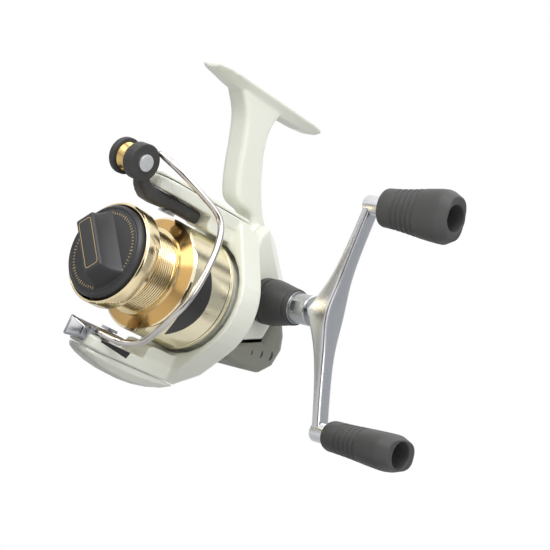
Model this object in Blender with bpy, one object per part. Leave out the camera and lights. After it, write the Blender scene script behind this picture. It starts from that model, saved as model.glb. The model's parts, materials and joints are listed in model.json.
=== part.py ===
# Open-face spinning reel with a front drag, a bail and a double handle.
#
# Reel axes: the spool turns about Y, its lip faces -Y, the handle is on +X and the rod lies above, at +Z.
# Lengths along Y are measured from the front of the spool lip, heights from the spool's axis.
# The world's origin is the middle of the foot's top face, where the rod's seat touches it.

import math

import bmesh
import bpy
from mathutils import Matrix, Vector

MM = 0.001

# Fits
SEAT_GAP = 0.3 * MM
RUN_GAP = 0.35 * MM
CUT_OVER = 1.0 * MM

# Spool
LIP_RADIUS = 18.45 * MM
LIP_WIDTH = 5.4 * MM
LIP_RIM = 1.45 * MM
LIP_FLOOR = 1.0 * MM
ARBOR_RADIUS = 15.8 * MM
ARBOR_GROOVE = 0.4 * MM
ARBOR_GROOVES = 4
COLLAR_START = 18.6 * MM
COLLAR_STEP = 0.7 * MM
SKIRT_START = 21.9 * MM
SKIRT_RADIUS = 21.2 * MM
SKIRT_END = 43.2 * MM
SKIRT_WALL = 1.2 * MM
DRAG_WELL_RADIUS = 13.6 * MM
DRAG_WELL_FLOOR = 17.6 * MM
SPOOL_STROKE = 9.0 * MM

# Drag
WASHER_THICKNESS = 1.0 * MM
WASHER_COUNT = 4
RETAINER_WIRE = 0.8 * MM
KNOB_DEPTH = 4.0 * MM
KNOB_FRONT = 2.2 * MM
KNOB_EDGE = 0.8 * MM
KNOB_BAR_HEIGHT = 9.6 * MM
KNOB_BAR_LENGTH = 21.8 * MM
KNOB_BAR_WIDTH = 7.7 * MM
KNOB_BAR_FLARE = 3.6 * MM
KNOB_BAR_EDGE = 0.9 * MM
KNOB_BAR_TILT = math.radians(38)
KNOB_WELL_DEPTH = 5.4 * MM
DRAG_NUT_RADIUS = 5.0 * MM
DRAG_NUT_HEIGHT = 4.4 * MM
SPRING_RADIUS = 4.2 * MM
SPRING_WIRE = 0.9 * MM
SPRING_TURNS = 3.5

# Main shaft and its slider
SHAFT_RADIUS = 1.3 * MM
SHAFT_FRONT = 0.4 * MM
SHAFT_REAR = 77.0 * MM
SPOOL_REST_RADIUS = 6.0 * MM
SPOOL_REST_HEIGHT = 2.4 * MM
SLIDER_START = 67.5 * MM
SLIDER_LENGTH = 7.0 * MM
SLIDER_LEFT = 4.9 * MM
SLIDER_RIGHT = 1.9 * MM
SLIDER_HALF_HEIGHT = 3.8 * MM

# Rotor
ROTOR_TILT = math.radians(8)
RIM_FRONT = 45.0 * MM
ROTOR_REAR = 56.0 * MM
RIM_RADIUS = 24.1 * MM
RIM_WALL = 2.3 * MM
RIM_STEP = 0.25 * MM
DRUM_RADIUS = 19.4 * MM
DRUM_WALL = 1.0 * MM
DRUM_FRONT = 46.0 * MM
DRUM_PLATE = 2.0 * MM
GROOVE_FLOOR = 54.4 * MM
ARM_INNER = 27.6 * MM
ARM_THICKNESS = 4.4 * MM
ARM_HALF_WIDTH = 7.0 * MM
ARM_TIP = 4.5 * MM
ARM_TIP_RADIUS = 5.0 * MM
ARM_COVER_THICKNESS = 1.2 * MM
ARM_COVER_INSET = 0.7 * MM
ARM_ROOT_COVER = 2.0 * MM
ARM_ROOT_SLANT = 5.6 * MM
ARM_BELLY = 4.6 * MM
ARM_EDGE = 0.8 * MM
ROOT_FRONT = 31.2 * MM
ROOT_INNER = 22.4 * MM
ROOT_ROUND = 2.4 * MM
ROTOR_EDGE = 1.0 * MM
ROTOR_NUT_RADIUS = 5.2 * MM
ROTOR_NUT_HEIGHT = 2.1 * MM

# Bail
BAIL_PIVOT = 16.5 * MM
PIVOT_RADIUS = 1.6 * MM
PIVOT_HEAD_RADIUS = 3.0 * MM
PIVOT_HEAD_HEIGHT = 1.0 * MM
LEVER_REAR = 30.0 * MM
LEVER_THICKNESS = 4.6 * MM
LEVER_HALF_WIDTH = 3.3 * MM
LEVER_EDGE = 0.9 * MM
LEVER_CLEAR = 0.9 * MM
LEVER_NECK = 6.5 * MM
ROLLER_Y = -6.6 * MM
ROLLER_HEIGHT = 32.4 * MM
ROLLER_RIGHT = 0.6 * MM
ROLLER_WIDTH = 4.9 * MM
ROLLER_RADIUS = 5.0 * MM
ROLLER_GROOVE = 0.9 * MM
ROLLER_PIN_RADIUS = 1.3 * MM
ROLLER_BUSH_WALL = 0.8 * MM
HUB_RADIUS = 6.5 * MM
HUB_WIDTH = 4.2 * MM
HUB_EDGE = 0.5 * MM
CAP_WIDTH = 3.6 * MM
DISC_RADIUS = 2.9 * MM
DISC_HEIGHT = 0.6 * MM
WIRE_RADIUS = 0.95 * MM
HOLDER_TIP = -2.6 * MM
HOLDER_TAIL = 24.0 * MM
HOLDER_THICKNESS = 3.0 * MM
HOLDER_HALF_WIDTH = 4.6 * MM
HOLDER_EDGE = 0.7 * MM
HOLDER_SLANT = 7.0 * MM
HOLDER_NOSE_FRONT = -5.2 * MM
HOLDER_NOSE_DROP = 7.4 * MM
HOLDER_NOSE_RISE = 0.8 * MM

# Body
BODY_FRONT = 57.0 * MM
NOSE_RADIUS = 12.0 * MM
NOSE_FRONT = 48.9 * MM
FLANGE_RADIUS = 18.0 * MM
FLANGE_FRONT = 54.4 * MM
NOSE_SUNK = 0.8 * MM
BODY_LEFT = 13.5 * MM
BODY_RIGHT = 5.8 * MM
COVER_WIDTH = 4.5 * MM
COVER_BEVEL = 1.5 * MM
BODY_BEVEL = 1.4 * MM
BODY_WALL = 1.6 * MM
INNER_ROOM = 0.6 * MM
STEM_HALF_WIDTH = 4.7 * MM
STEM_EDGE = 1.4 * MM
FOOT_FRONT = 15.2 * MM
FOOT_REAR = 76.8 * MM
FOOT_TOP = 78.4 * MM
FOOT_THICKNESS = 4.4 * MM
FOOT_TIP_THICKNESS = 1.8 * MM
FOOT_HALF_WIDTH = 7.1 * MM
TAIL_HALF_WIDTH = 10.4 * MM
TAIL_WALL = 1.5 * MM
TAIL_FRONT = 62.4 * MM
TAIL_BEVEL = 3.4 * MM
TAIL_TOP = 10.8 * MM
TAIL_LOW = 17.6 * MM
CRESCENTS = 3
CRESCENT_FRONT = 74.4 * MM
CRESCENT_STEP = 5.2 * MM
CRESCENT_DROP = 10.8 * MM
CRESCENT_RISE = 1.0 * MM
CRESCENT_RADIUS = 1.05 * MM
CRESCENT_GROWTH = 0.45 * MM
CRESCENT_DEPTH = 0.5 * MM

# Bearings round the pinion and the handle shaft
CLUTCH_RADIUS = 8.0 * MM
CLUTCH_LENGTH = 3.2 * MM
BEARING_RADIUS = 6.4 * MM
BEARING_LENGTH = 2.8 * MM
PINION_REAR = 61.4 * MM
HANDLE_BEARING_RADIUS = 6.4 * MM
HANDLE_BEARING_WIDTH = 2.8 * MM

# Gears
AXLE_Y = 70.0 * MM
AXLE_Z = 8.5 * MM
AXLE_RADIUS = 3.2 * MM
PINION_TEETH = 8
PINION_TIP = 2.6 * MM
PINION_ROOT = 2.0 * MM
FACE_TEETH = 34
FACE_MESH_Y = 9.6 * MM
FACE_RIB_LENGTH = 2.4 * MM
FACE_RIB_WIDTH = 0.5 * MM
FACE_RIB_HEIGHT = 0.85 * MM
FACE_MESH_DEPTH = 0.45 * MM
FACE_GEAR_RADIUS = 13.9 * MM
FACE_GEAR_WIDTH = 2.6 * MM
DRIVER_TEETH = 12
FOLLOWER_TEETH = 16
SPUR_MODULE = 0.7 * MM
SPUR_WIDTH = 2.0 * MM
SPUR_LEFT = 7.6 * MM
FOLLOWER_DROP = math.radians(-66)
FOLLOWER_PIN_RADIUS = 1.4 * MM

# Handle
HANDLE_LEAN = math.radians(9.5)
COLLAR_RADIUS = 8.6 * MM
COLLAR_LENGTH = 4.5 * MM
SLEEVE_LENGTH = 16.2 * MM
SLEEVE_END_RADIUS = 6.4 * MM
SLEEVE_EDGE = 0.5 * MM
SHANK_RADIUS = 5.5 * MM
SHANK_LENGTH = 4.0 * MM
SHANK_SLOT_WIDTH = 3.0 * MM
SHANK_SLOT_DEPTH = 1.6 * MM
HANDLE_HUB_WIDTH = 10.4 * MM
HANDLE_HUB_LENGTH = 9.0 * MM
HANDLE_TIP_WIDTH = 6.4 * MM
HANDLE_TIP_LENGTH = 3.6 * MM
ARM_REACH = 41.0 * MM
ARM_BOSS_RADIUS = 3.6 * MM
ARM_BOSS_LENGTH = 7.6 * MM
ARM_OFFSET = 12.8 * MM
GRIP_LENGTH = 31.0 * MM
GRIP_WIDE_ROOT = 7.0 * MM
GRIP_WIDE_END = 9.7 * MM
GRIP_SLIM_ROOT = 5.6 * MM
GRIP_SLIM_END = 7.2 * MM
GRIP_GROOVE = 0.6 * MM
GRIP_BORE_RADIUS = 4.8 * MM
GRIP_BORE_DEPTH = 11.0 * MM
GRIP_RIBS = 5
SPINDLE_RADIUS = 1.8 * MM
SPINDLE_HEAD_RADIUS = 3.6 * MM
SPINDLE_HEAD_HEIGHT = 2.0 * MM
LEFT_CAP_RADIUS = 7.4 * MM
LEFT_CAP_HEIGHT = 2.2 * MM
LEFT_CAP_SLOT_LENGTH = 8.0 * MM
LEFT_CAP_SLOT_WIDTH = 1.2 * MM

# Anti-reverse lever
LEVER_AXIS_DROP = 13.6 * MM
LEVER_ROD_RADIUS = 1.3 * MM
LEVER_ROD_LENGTH = 8.0 * MM
LEVER_TAB_LENGTH = 9.0 * MM
LEVER_TAB_HEIGHT = 3.6 * MM
LEVER_TAB_DEPTH = 3.6 * MM
LEVER_TAB_FRONT = 58.2 * MM
LEVER_HOLE_RADIUS = 1.1 * MM
LEVER_TAB_EDGE = 0.5 * MM

# Facets on each round piece
ROUND_LARGE = 24
ROUND_MEDIUM = 20
ROUND_GRIP = 15
ROUND_SMALL = 14


# Scene and finishes


def clear_scene():
    for item in list(bpy.data.objects):
        bpy.data.objects.remove(item)


def finish_of(name, colour, roughness, metallic):
    material = bpy.data.materials.new(name)
    material.use_nodes = True
    shader = material.node_tree.nodes["Principled BSDF"]
    shader.inputs["Base Color"].default_value = (*colour, 1.0)
    shader.inputs["Roughness"].default_value = roughness
    shader.inputs["Metallic"].default_value = metallic
    return material


def make_finishes():
    return {
        "pearl": finish_of("pearl_paint", (0.80, 0.82, 0.74), 0.30, 0.0),
        "gold": finish_of("gold_anodised", (0.80, 0.60, 0.27), 0.22, 1.0),
        "champagne": finish_of("champagne_anodised", (0.62, 0.54, 0.30), 0.25, 1.0),
        "charcoal": finish_of("charcoal_plastic", (0.05, 0.05, 0.053), 0.45, 0.0),
        "rubber": finish_of("grip_rubber", (0.075, 0.075, 0.07), 0.65, 0.0),
        "black": finish_of("black_plastic", (0.035, 0.035, 0.035), 0.5, 0.0),
        "silver": finish_of("bright_metal", (0.72, 0.72, 0.73), 0.2, 1.0),
        "steel": finish_of("steel", (0.45, 0.46, 0.47), 0.3, 1.0),
        "brass": finish_of("brass", (0.70, 0.50, 0.20), 0.28, 1.0),
        "grey": finish_of("warm_grey_plastic", (0.27, 0.27, 0.23), 0.45, 0.0),
        "cream": finish_of("cream_plastic", (0.74, 0.72, 0.60), 0.4, 0.0),
        "felt": finish_of("drag_felt", (0.25, 0.22, 0.18), 0.9, 0.0),
    }


def empty_at(name, place, parent=None):
    item = bpy.data.objects.new(name, None)
    bpy.context.scene.collection.objects.link(item)
    item.location = place
    item.parent = parent
    return item


# Shape helpers: each returns an object whose mesh lies in reel axes


def object_from(name, bm):
    bmesh.ops.remove_doubles(bm, verts=bm.verts, dist=1e-7)
    bmesh.ops.recalc_face_normals(bm, faces=bm.faces)
    mesh = bpy.data.meshes.new(name)
    bm.to_mesh(mesh)
    bm.free()
    item = bpy.data.objects.new(name, mesh)
    bpy.context.scene.collection.objects.link(item)
    return item


def turn_axis(axis):
    """Turns a shape made round +Z so that it lies round the named axis."""
    if axis == "X":
        return Matrix.Rotation(math.radians(90), 3, "Y")
    if axis == "Y":
        return Matrix.Rotation(math.radians(-90), 3, "X")
    return Matrix.Identity(3)


def turned(name, profile, axis="Y", centre=(0, 0, 0), facets=ROUND_MEDIUM):
    """A closed profile of (along, radius) pairs spun once about an axis through centre."""
    bm = bmesh.new()
    corners = [bm.verts.new((radius, 0, along)) for along, radius in profile]
    edges = [bm.edges.new((corners[i - 1], corners[i])) for i in range(len(corners))]
    bmesh.ops.spin(
        bm, geom=corners + edges, cent=(0, 0, 0), axis=(0, 0, 1),
        angle=math.tau, steps=facets, use_merge=True,
    )
    bmesh.ops.remove_doubles(bm, verts=bm.verts, dist=1e-7)
    bmesh.ops.dissolve_degenerate(bm, edges=bm.edges, dist=1e-8)
    bm.transform(turn_axis(axis).to_4x4())
    bm.transform(Matrix.Translation(centre))
    return object_from(name, bm)


def cylinder(name, axis, centre, low, high, radius, facets=ROUND_SMALL):
    return turned(name, [(low, 0), (low, radius), (high, radius), (high, 0)], axis, centre, facets)


def ring(name, axis, centre, low, high, outer, inner, facets=ROUND_MEDIUM):
    profile = [(low, inner), (low, outer), (high, outer), (high, inner)]
    return turned(name, profile, axis, centre, facets)


def prism(name, outline, axis, low, high):
    """An outline of pairs drawn square to an axis and extruded from low to high along it.

    The pairs are (y, z) for X, (x, z) for Y and (x, y) for Z.
    """
    order = {"X": (2, 0, 1), "Y": (0, 2, 1), "Z": (0, 1, 2)}[axis]
    bm = bmesh.new()
    corners = []
    for first, second in outline:
        point = (first, second, low)
        corners.append(bm.verts.new([point[i] for i in order]))
    face = bm.faces.new(corners)
    grown = bmesh.ops.extrude_face_region(bm, geom=[face])["geom"]
    shift = [(0, 0, high - low)[i] for i in order]
    moved = [v for v in grown if isinstance(v, bmesh.types.BMVert)]
    bmesh.ops.translate(bm, verts=moved, vec=shift)
    return object_from(name, bm)


def box(name, low, high):
    outline = [(low[0], low[1]), (high[0], low[1]), (high[0], high[1]), (low[0], high[1])]
    return prism(name, outline, "Z", low[2], high[2])


def loft(name, rings, closed=False):
    """A skin over rings of equal counts, with flat ends or joined end to end."""
    bm = bmesh.new()
    rows = [[bm.verts.new(point) for point in points] for points in rings]
    count = len(rows[0])
    pairs = list(zip(rows, rows[1:]))
    if closed:
        pairs.append((rows[-1], rows[0]))
    for near, far in pairs:
        for i in range(count):
            bm.faces.new((near[i - 1], near[i], far[i], far[i - 1]))
    if not closed:
        bm.faces.new(rows[0])
        bm.faces.new(rows[-1])
    return object_from(name, bm)


def smooth_path(points, steps):
    """Points along a smooth curve through the given ones, which it keeps."""
    ends = [points[0] * 2 - points[1], *points, points[-1] * 2 - points[-2]]
    path = []
    for i in range(1, len(ends) - 2):
        before, near, far, after = ends[i - 1 : i + 3]
        for step in range(steps):
            t = step / steps
            bend = (far - before) * t
            bend = bend + (before * 2 - near * 5 + far * 4 - after) * t**2
            bend = bend + (near * 3 - before - far * 3 + after) * t**3
            path.append(near + bend * 0.5)
    path.append(points[-1])
    return path


def tube(name, path, radius, sides):
    """A round tube along a path, with flat ends."""
    rings = []
    side = Vector((0, 0, 1))
    for i, point in enumerate(path):
        ahead = path[min(i + 1, len(path) - 1)] - path[max(i - 1, 0)]
        ahead.normalize()
        side = (side - ahead * side.dot(ahead)).normalized()
        up = ahead.cross(side)
        angles = [math.tau * k / sides for k in range(sides)]
        rings.append([point + (side * math.cos(a) + up * math.sin(a)) * radius for a in angles])
    return loft(name, rings)


def combine(item, other, operation):
    """Joins or cuts item with other, which is used up."""
    change = item.modifiers.new("change", "BOOLEAN")
    change.operation = operation
    change.object = other
    bpy.context.view_layer.update()
    result = item.evaluated_get(bpy.context.evaluated_depsgraph_get())
    mesh = bpy.data.meshes.new_from_object(result)
    item.modifiers.clear()
    item.data = mesh
    bpy.data.objects.remove(other)
    return item


def add(item, other):
    return combine(item, other, "UNION")


def cut(item, other):
    return combine(item, other, "DIFFERENCE")


def rounded(item, width, segments=2, angle=math.radians(35), keep=None):
    """Rounds the sharp edges of item, or only those whose two ends both pass keep."""
    bm = bmesh.new()
    bm.from_mesh(item.data)
    bmesh.ops.dissolve_limit(bm, angle_limit=math.radians(1), verts=bm.verts, edges=bm.edges)
    edges = [e for e in bm.edges if e.is_manifold and e.calc_face_angle() > angle]
    if keep:
        edges = [e for e in edges if all(keep(v.co) for v in e.verts)]
    bmesh.ops.bevel(
        bm, geom=edges, offset=width, offset_type="OFFSET", affect="EDGES",
        segments=segments, profile=0.5, clamp_overlap=True, material=-1,
    )
    bm.to_mesh(item.data)
    bm.free()
    return item


def settle(item, finish, parent, origin=(0, 0, 0)):
    """Gives item its finish, its origin on its axis and its parent."""
    item.data.transform(Matrix.Translation(-Vector(origin)))
    item.location = origin
    item.parent = parent
    item.data.materials.clear()
    item.data.materials.append(finish)
    item.data.shade_smooth()
    item.data.set_sharp_from_angle(angle=math.radians(32))
    return item


def circle_points(radius, facets, start=0.0):
    angles = [start + math.tau * i / facets for i in range(facets)]
    return [(radius * math.cos(a), radius * math.sin(a)) for a in angles]


def gear_outline(teeth, root, tip, width, first):
    """A gear's outline of straight teeth, one of which points along the angle first."""
    points = []
    for i in range(teeth):
        middle = first + math.tau * i / teeth
        for radius, side in ((root, -1), (tip, -0.8), (tip, 0.8), (root, 1)):
            angle = middle + side * width / (2 * radius)
            points.append((radius * math.cos(angle), radius * math.sin(angle)))
    return points


# Spool and drag


def spool_rear():
    """The rear face of the spool's web, which the spool rest carries."""
    return SKIRT_START - SEAT_GAP


def lip_recess():
    return LIP_RADIUS - LIP_RIM


def shaft_hole():
    return SHAFT_RADIUS + RUN_GAP


def make_lip_ring():
    floor = LIP_WIDTH - LIP_FLOOR
    round_off = 0.3 * LIP_RIM
    profile = [
        (floor, DRAG_WELL_RADIUS), (floor, lip_recess()), (0, lip_recess()),
        (0, LIP_RADIUS - round_off), (round_off, LIP_RADIUS),
        (LIP_WIDTH - round_off, LIP_RADIUS), (LIP_WIDTH, LIP_RADIUS - round_off),
        (LIP_WIDTH, DRAG_WELL_RADIUS),
    ]
    return turned("spool_lip_ring", profile, facets=ROUND_LARGE)


def make_bobbin():
    start = LIP_WIDTH + SEAT_GAP
    pitch = (COLLAR_START - start) / (ARBOR_GROOVES + 1)
    web = spool_rear()
    collar = ARBOR_RADIUS + COLLAR_STEP
    profile = [(start, DRAG_WELL_RADIUS), (start, ARBOR_RADIUS)]
    for i in range(ARBOR_GROOVES):
        middle = start + (i + 1) * pitch
        profile.append((middle, ARBOR_RADIUS - ARBOR_GROOVE))
        profile.append((middle + pitch / 2, ARBOR_RADIUS))
    profile += [
        (COLLAR_START, ARBOR_RADIUS), (COLLAR_START, collar),
        (COLLAR_START + 1.5 * COLLAR_STEP, collar),
        (SKIRT_START, SKIRT_RADIUS - 0.5 * SKIRT_WALL),
        (SKIRT_START + 0.5 * SKIRT_WALL, SKIRT_RADIUS), (SKIRT_END, SKIRT_RADIUS),
        (SKIRT_END, SKIRT_RADIUS - SKIRT_WALL),
        (SKIRT_START + SKIRT_WALL, SKIRT_RADIUS - SKIRT_WALL),
        (web, ARBOR_RADIUS), (web, shaft_hole()),
        (DRAG_WELL_FLOOR, shaft_hole()), (DRAG_WELL_FLOOR, DRAG_WELL_RADIUS),
    ]
    return turned("spool_bobbin", profile, facets=ROUND_LARGE)


def washer_front(index):
    """Front face of each drag washer, counted from the floor of the drag well."""
    return DRAG_WELL_FLOOR - (index + 1) * (WASHER_THICKNESS + SEAT_GAP)


def make_washer(index):
    front = washer_front(index)
    outer = DRAG_WELL_RADIUS - RUN_GAP
    return ring(
        f"drag_washer_{index + 1}", "Y", (0, 0, 0), front, front + WASHER_THICKNESS,
        outer, shaft_hole(), ROUND_SMALL,
    )


def retainer_front():
    return washer_front(WASHER_COUNT - 1) - SEAT_GAP - RETAINER_WIRE


def make_retainer():
    outer = DRAG_WELL_RADIUS - SEAT_GAP
    inner = outer - 2 * RETAINER_WIRE
    front = retainer_front()
    return ring(
        "drag_retaining_ring", "Y", (0, 0, 0), front, front + RETAINER_WIRE,
        outer, inner, ROUND_SMALL,
    )


def knob_rear():
    return LIP_WIDTH - LIP_FLOOR - RUN_GAP


def make_drag_knob():
    radius = lip_recess() - RUN_GAP
    edge = KNOB_EDGE
    rear = knob_rear()
    front = rear - KNOB_DEPTH - KNOB_FRONT
    well = DRAG_NUT_RADIUS + RUN_GAP
    profile = [
        (rear, well), (rear, radius), (front + edge, radius), (front, radius - edge),
        (front, 0), (rear - KNOB_WELL_DEPTH, 0), (rear - KNOB_WELL_DEPTH, well),
    ]
    knob = turned("drag_knob", profile, facets=ROUND_LARGE)
    half = KNOB_BAR_LENGTH / 2
    wide = KNOB_BAR_WIDTH / 2
    flare = KNOB_BAR_FLARE
    turn = Matrix.Rotation(KNOB_BAR_TILT, 3, "Y").inverted()
    sunk = front + edge
    rings = []
    for along, grow in ((-KNOB_BAR_HEIGHT, 0), (0.4 * (front - KNOB_BAR_HEIGHT), 0.4), (sunk, 1)):
        length = half + 0.5 * grow * flare
        width = wide + grow * flare
        corner = [(-width, -length), (width, -length), (width, length), (-width, length)]
        rings.append([turn @ Vector((x, along, z)) for x, z in corner])
    bar = rounded(loft("knob_bar", rings), KNOB_BAR_EDGE, keep=lambda co: co.y < front)
    return add(knob, bar)


def nut_front():
    return knob_rear() - KNOB_WELL_DEPTH + SEAT_GAP


def make_drag_nut():
    outline = circle_points(DRAG_NUT_RADIUS, 6)
    nut = prism("drag_nut", outline, "Y", nut_front(), nut_front() + DRAG_NUT_HEIGHT)
    low = nut_front() - CUT_OVER
    high = nut_front() + DRAG_NUT_HEIGHT + CUT_OVER
    return cut(nut, cylinder("hole", "Y", (0, 0, 0), low, high, shaft_hole()))


def make_drag_spring():
    start = nut_front() + DRAG_NUT_HEIGHT + SEAT_GAP + SPRING_WIRE / 2
    end = washer_front(WASHER_COUNT - 1) - SEAT_GAP - SPRING_WIRE / 2
    points_per_turn = 10
    count = round(SPRING_TURNS * points_per_turn)
    path = []
    for i in range(count + 1):
        angle = math.tau * i / points_per_turn
        along = start + (end - start) * i / count
        path.append(Vector((SPRING_RADIUS * math.cos(angle), along, SPRING_RADIUS * math.sin(angle))))
    print("drag spring gap mm", ((end - start) / SPRING_TURNS - SPRING_WIRE) / MM)
    return tube("drag_spring", path, SPRING_WIRE / 2, 5)


# Main shaft


def make_main_shaft():
    return cylinder("main_shaft", "Y", (0, 0, 0), SHAFT_FRONT, SHAFT_REAR, SHAFT_RADIUS)


def make_spool_rest():
    front = spool_rear() + SEAT_GAP
    inner = SHAFT_RADIUS + SEAT_GAP
    return ring(
        "spool_rest", "Y", (0, 0, 0), front, front + SPOOL_REST_HEIGHT,
        SPOOL_REST_RADIUS, inner, ROUND_SMALL,
    )


def make_slider():
    slider = box(
        "oscillation_slider",
        (-SLIDER_LEFT, SLIDER_START, -SLIDER_HALF_HEIGHT),
        (SLIDER_RIGHT, SLIDER_START + SLIDER_LENGTH, SLIDER_HALF_HEIGHT),
    )
    hole = cylinder(
        "hole", "Y", (0, 0, 0), SLIDER_START - CUT_OVER, SLIDER_START + SLIDER_LENGTH + CUT_OVER,
        SHAFT_RADIUS + SEAT_GAP,
    )
    return cut(slider, hole)


# Rotor


def pinion_hole():
    return PINION_TIP + RUN_GAP


def arm_outer():
    return ARM_INNER + ARM_THICKNESS


def rim_outline():
    """The rim seen along the spool: a circle drawn out to the roots of both arms by straight flanks."""
    reach = arm_outer() - RIM_STEP
    half = ARM_HALF_WIDTH - RIM_STEP
    flank = math.atan2(reach, half) - math.acos(RIM_RADIUS / math.hypot(reach, half))
    side_steps = 9
    points = []
    for turn in (0, math.pi):
        for i in range(side_steps):
            angle = turn - flank + 2 * flank * i / (side_steps - 1)
            points.append((RIM_RADIUS * math.cos(angle), RIM_RADIUS * math.sin(angle)))
        sign = math.cos(turn)
        points.append((half * sign, reach * sign))
        points.append((-half * sign, reach * sign))
    return points


def arm_outline(inset=0.0, root=ROTOR_REAR - ARM_ROOT_COVER):
    """An arm seen from outside: straight sides and a tip with round corners."""
    half = ARM_HALF_WIDTH - inset
    radius = ARM_TIP_RADIUS - inset
    tip = ARM_TIP + inset
    corner_steps = 4
    points = [(half, root)]
    for side, first in ((1, 0), (-1, 90)):
        for i in range(corner_steps + 1):
            angle = math.radians(first + 90 * i / corner_steps)
            x = side * (half - radius) + radius * math.cos(angle)
            points.append((x, tip + radius - radius * math.sin(angle)))
    points.append((-half, root))
    return points


def make_arm_root(side):
    """The block that thickens an arm between the rim and the end of the bail's lever."""
    half = ARM_HALF_WIDTH - 2 * RIM_STEP
    deep = ARM_INNER + ARM_THICKNESS / 2
    back = RIM_FRONT + CUT_OVER
    outline = [
        (ROOT_FRONT, deep), (ROOT_FRONT, ROOT_INNER + ROOT_ROUND),
        (ROOT_FRONT + 0.3 * ROOT_ROUND, ROOT_INNER + 0.3 * ROOT_ROUND), (ROOT_FRONT + ROOT_ROUND, ROOT_INNER),
        (back, ROOT_INNER), (back, deep),
    ]
    return prism("arm_root", [(y, side * z) for y, z in outline], "X", -half, half)


def root_slant(side):
    """The wedge taken off an arm's root, so that its rear corner slants down to the rim."""
    top = arm_outer() + CUT_OVER
    back = ROTOR_REAR + CUT_OVER
    reach = ARM_ROOT_SLANT + 2 * CUT_OVER
    half = ARM_HALF_WIDTH + CUT_OVER
    outline = [(back - reach, side * top), (back, side * top), (back, side * (top - reach))]
    return prism("slant", outline, "X", -half, half)


def make_rotor_frame():
    frame = prism("rotor_frame", rim_outline(), "Y", RIM_FRONT, ROTOR_REAR)
    frame = rounded(frame, ROTOR_EDGE, angle=math.radians(60), keep=lambda co: co.y > ROTOR_REAR - ROTOR_EDGE)
    for side in (1, -1):
        low, high = sorted((side * ARM_INNER, side * arm_outer()))
        arm = prism("arm", arm_outline(), "Z", low, high)
        outer = side * arm_outer()
        arm = rounded(arm, ARM_EDGE, angle=math.radians(60),
                      keep=lambda co: abs(co.z - outer) < 1e-6 and co.y < RIM_FRONT)
        frame = add(frame, arm)
        frame = add(frame, make_arm_root(side))
        frame = cut(frame, root_slant(side))
    cup = RIM_RADIUS - RIM_WALL
    margin = 2 * CUT_OVER
    front = [
        (RIM_FRONT - margin, 0), (RIM_FRONT - margin, cup), (GROOVE_FLOOR, cup),
        (GROOVE_FLOOR, DRUM_RADIUS), (DRUM_FRONT, DRUM_RADIUS), (DRUM_FRONT, 0),
    ]
    frame = cut(frame, turned("front_cut", front, facets=ROUND_LARGE))
    rear = DRUM_FRONT + DRUM_PLATE
    inner = DRUM_RADIUS - DRUM_WALL
    frame = cut(frame, cylinder("rear_cut", "Y", (0, 0, 0), rear, ROTOR_REAR + margin, inner, ROUND_LARGE))
    frame = cut(frame, cylinder("hole", "Y", (0, 0, 0), RIM_FRONT, rear + margin, pinion_hole()))
    for side in (1, -1):
        ends = sorted((side * (ARM_INNER - margin), side * (arm_outer() + margin)))
        screw = cylinder("screw_hole", "Z", (0, BAIL_PIVOT, 0), *ends, PIVOT_RADIUS + RUN_GAP)
        frame = cut(frame, screw)
    return frame


def make_arm_cover(name):
    low = arm_outer() + SEAT_GAP
    high = low + ARM_COVER_THICKNESS
    cover = prism(name, arm_outline(ARM_COVER_INSET, cover_root()), "Z", low, high)
    return rounded(cover, 0.6 * ARM_COVER_THICKNESS, angle=math.radians(60),
                   keep=lambda co: abs(co.z - high) < 1e-6)


def cover_root():
    return ROTOR_REAR - ARM_ROOT_SLANT - 0.2 * ARM_ROOT_COVER


def make_arm_belly(name):
    """The lower arm's cover: it swells outwards to balance the roller on the other arm."""
    base = arm_outer() + SEAT_GAP
    tip = ARM_TIP + ARM_COVER_INSET
    half = ARM_HALF_WIDTH - ARM_COVER_INSET
    corner = ARM_TIP_RADIUS - ARM_COVER_INSET
    rings = []
    for share in (0.0, 0.03, 0.08, 0.2, 0.35, 0.5, 0.65, 0.8, 0.92, 1.0):
        y = tip + (cover_root() - tip) * share
        short = max(0.0, corner - (y - tip))
        wide = half - corner + math.sqrt(corner**2 - short**2)
        swell = ARM_COVER_THICKNESS + ARM_BELLY * math.sin(math.pi * share) ** 0.6
        crown = [(1.0, 0.0), (1.0, 0.35), (0.8, 0.8), (0.45, 1.0)]
        crown += [(-a, b) for a, b in reversed(crown)]
        rings.append([Vector((a * wide, y, -base - b * swell)) for a, b in crown])
    return loft(name, rings)


def make_rotor_nut():
    front = DRUM_FRONT - SEAT_GAP - ROTOR_NUT_HEIGHT
    nut = prism("rotor_nut", circle_points(ROTOR_NUT_RADIUS, 6), "Y", front, front + ROTOR_NUT_HEIGHT)
    return cut(nut, cylinder("hole", "Y", (0, 0, 0), front - CUT_OVER, DRUM_FRONT + CUT_OVER, pinion_hole()))


def make_pinion():
    front = DRUM_FRONT - SEAT_GAP - ROTOR_NUT_HEIGHT
    half_step = math.pi / PINION_TEETH
    outline = gear_outline(PINION_TEETH, PINION_ROOT, PINION_TIP, FACE_RIB_WIDTH, half_step)
    pinion = prism("pinion_gear", outline, "Y", front, PINION_REAR)
    hole = cylinder("hole", "Y", (0, 0, 0), front - CUT_OVER, PINION_REAR + CUT_OVER, shaft_hole(), 12)
    return cut(pinion, hole)


# Bail


def lever_top():
    return ARM_INNER - SEAT_GAP


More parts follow.
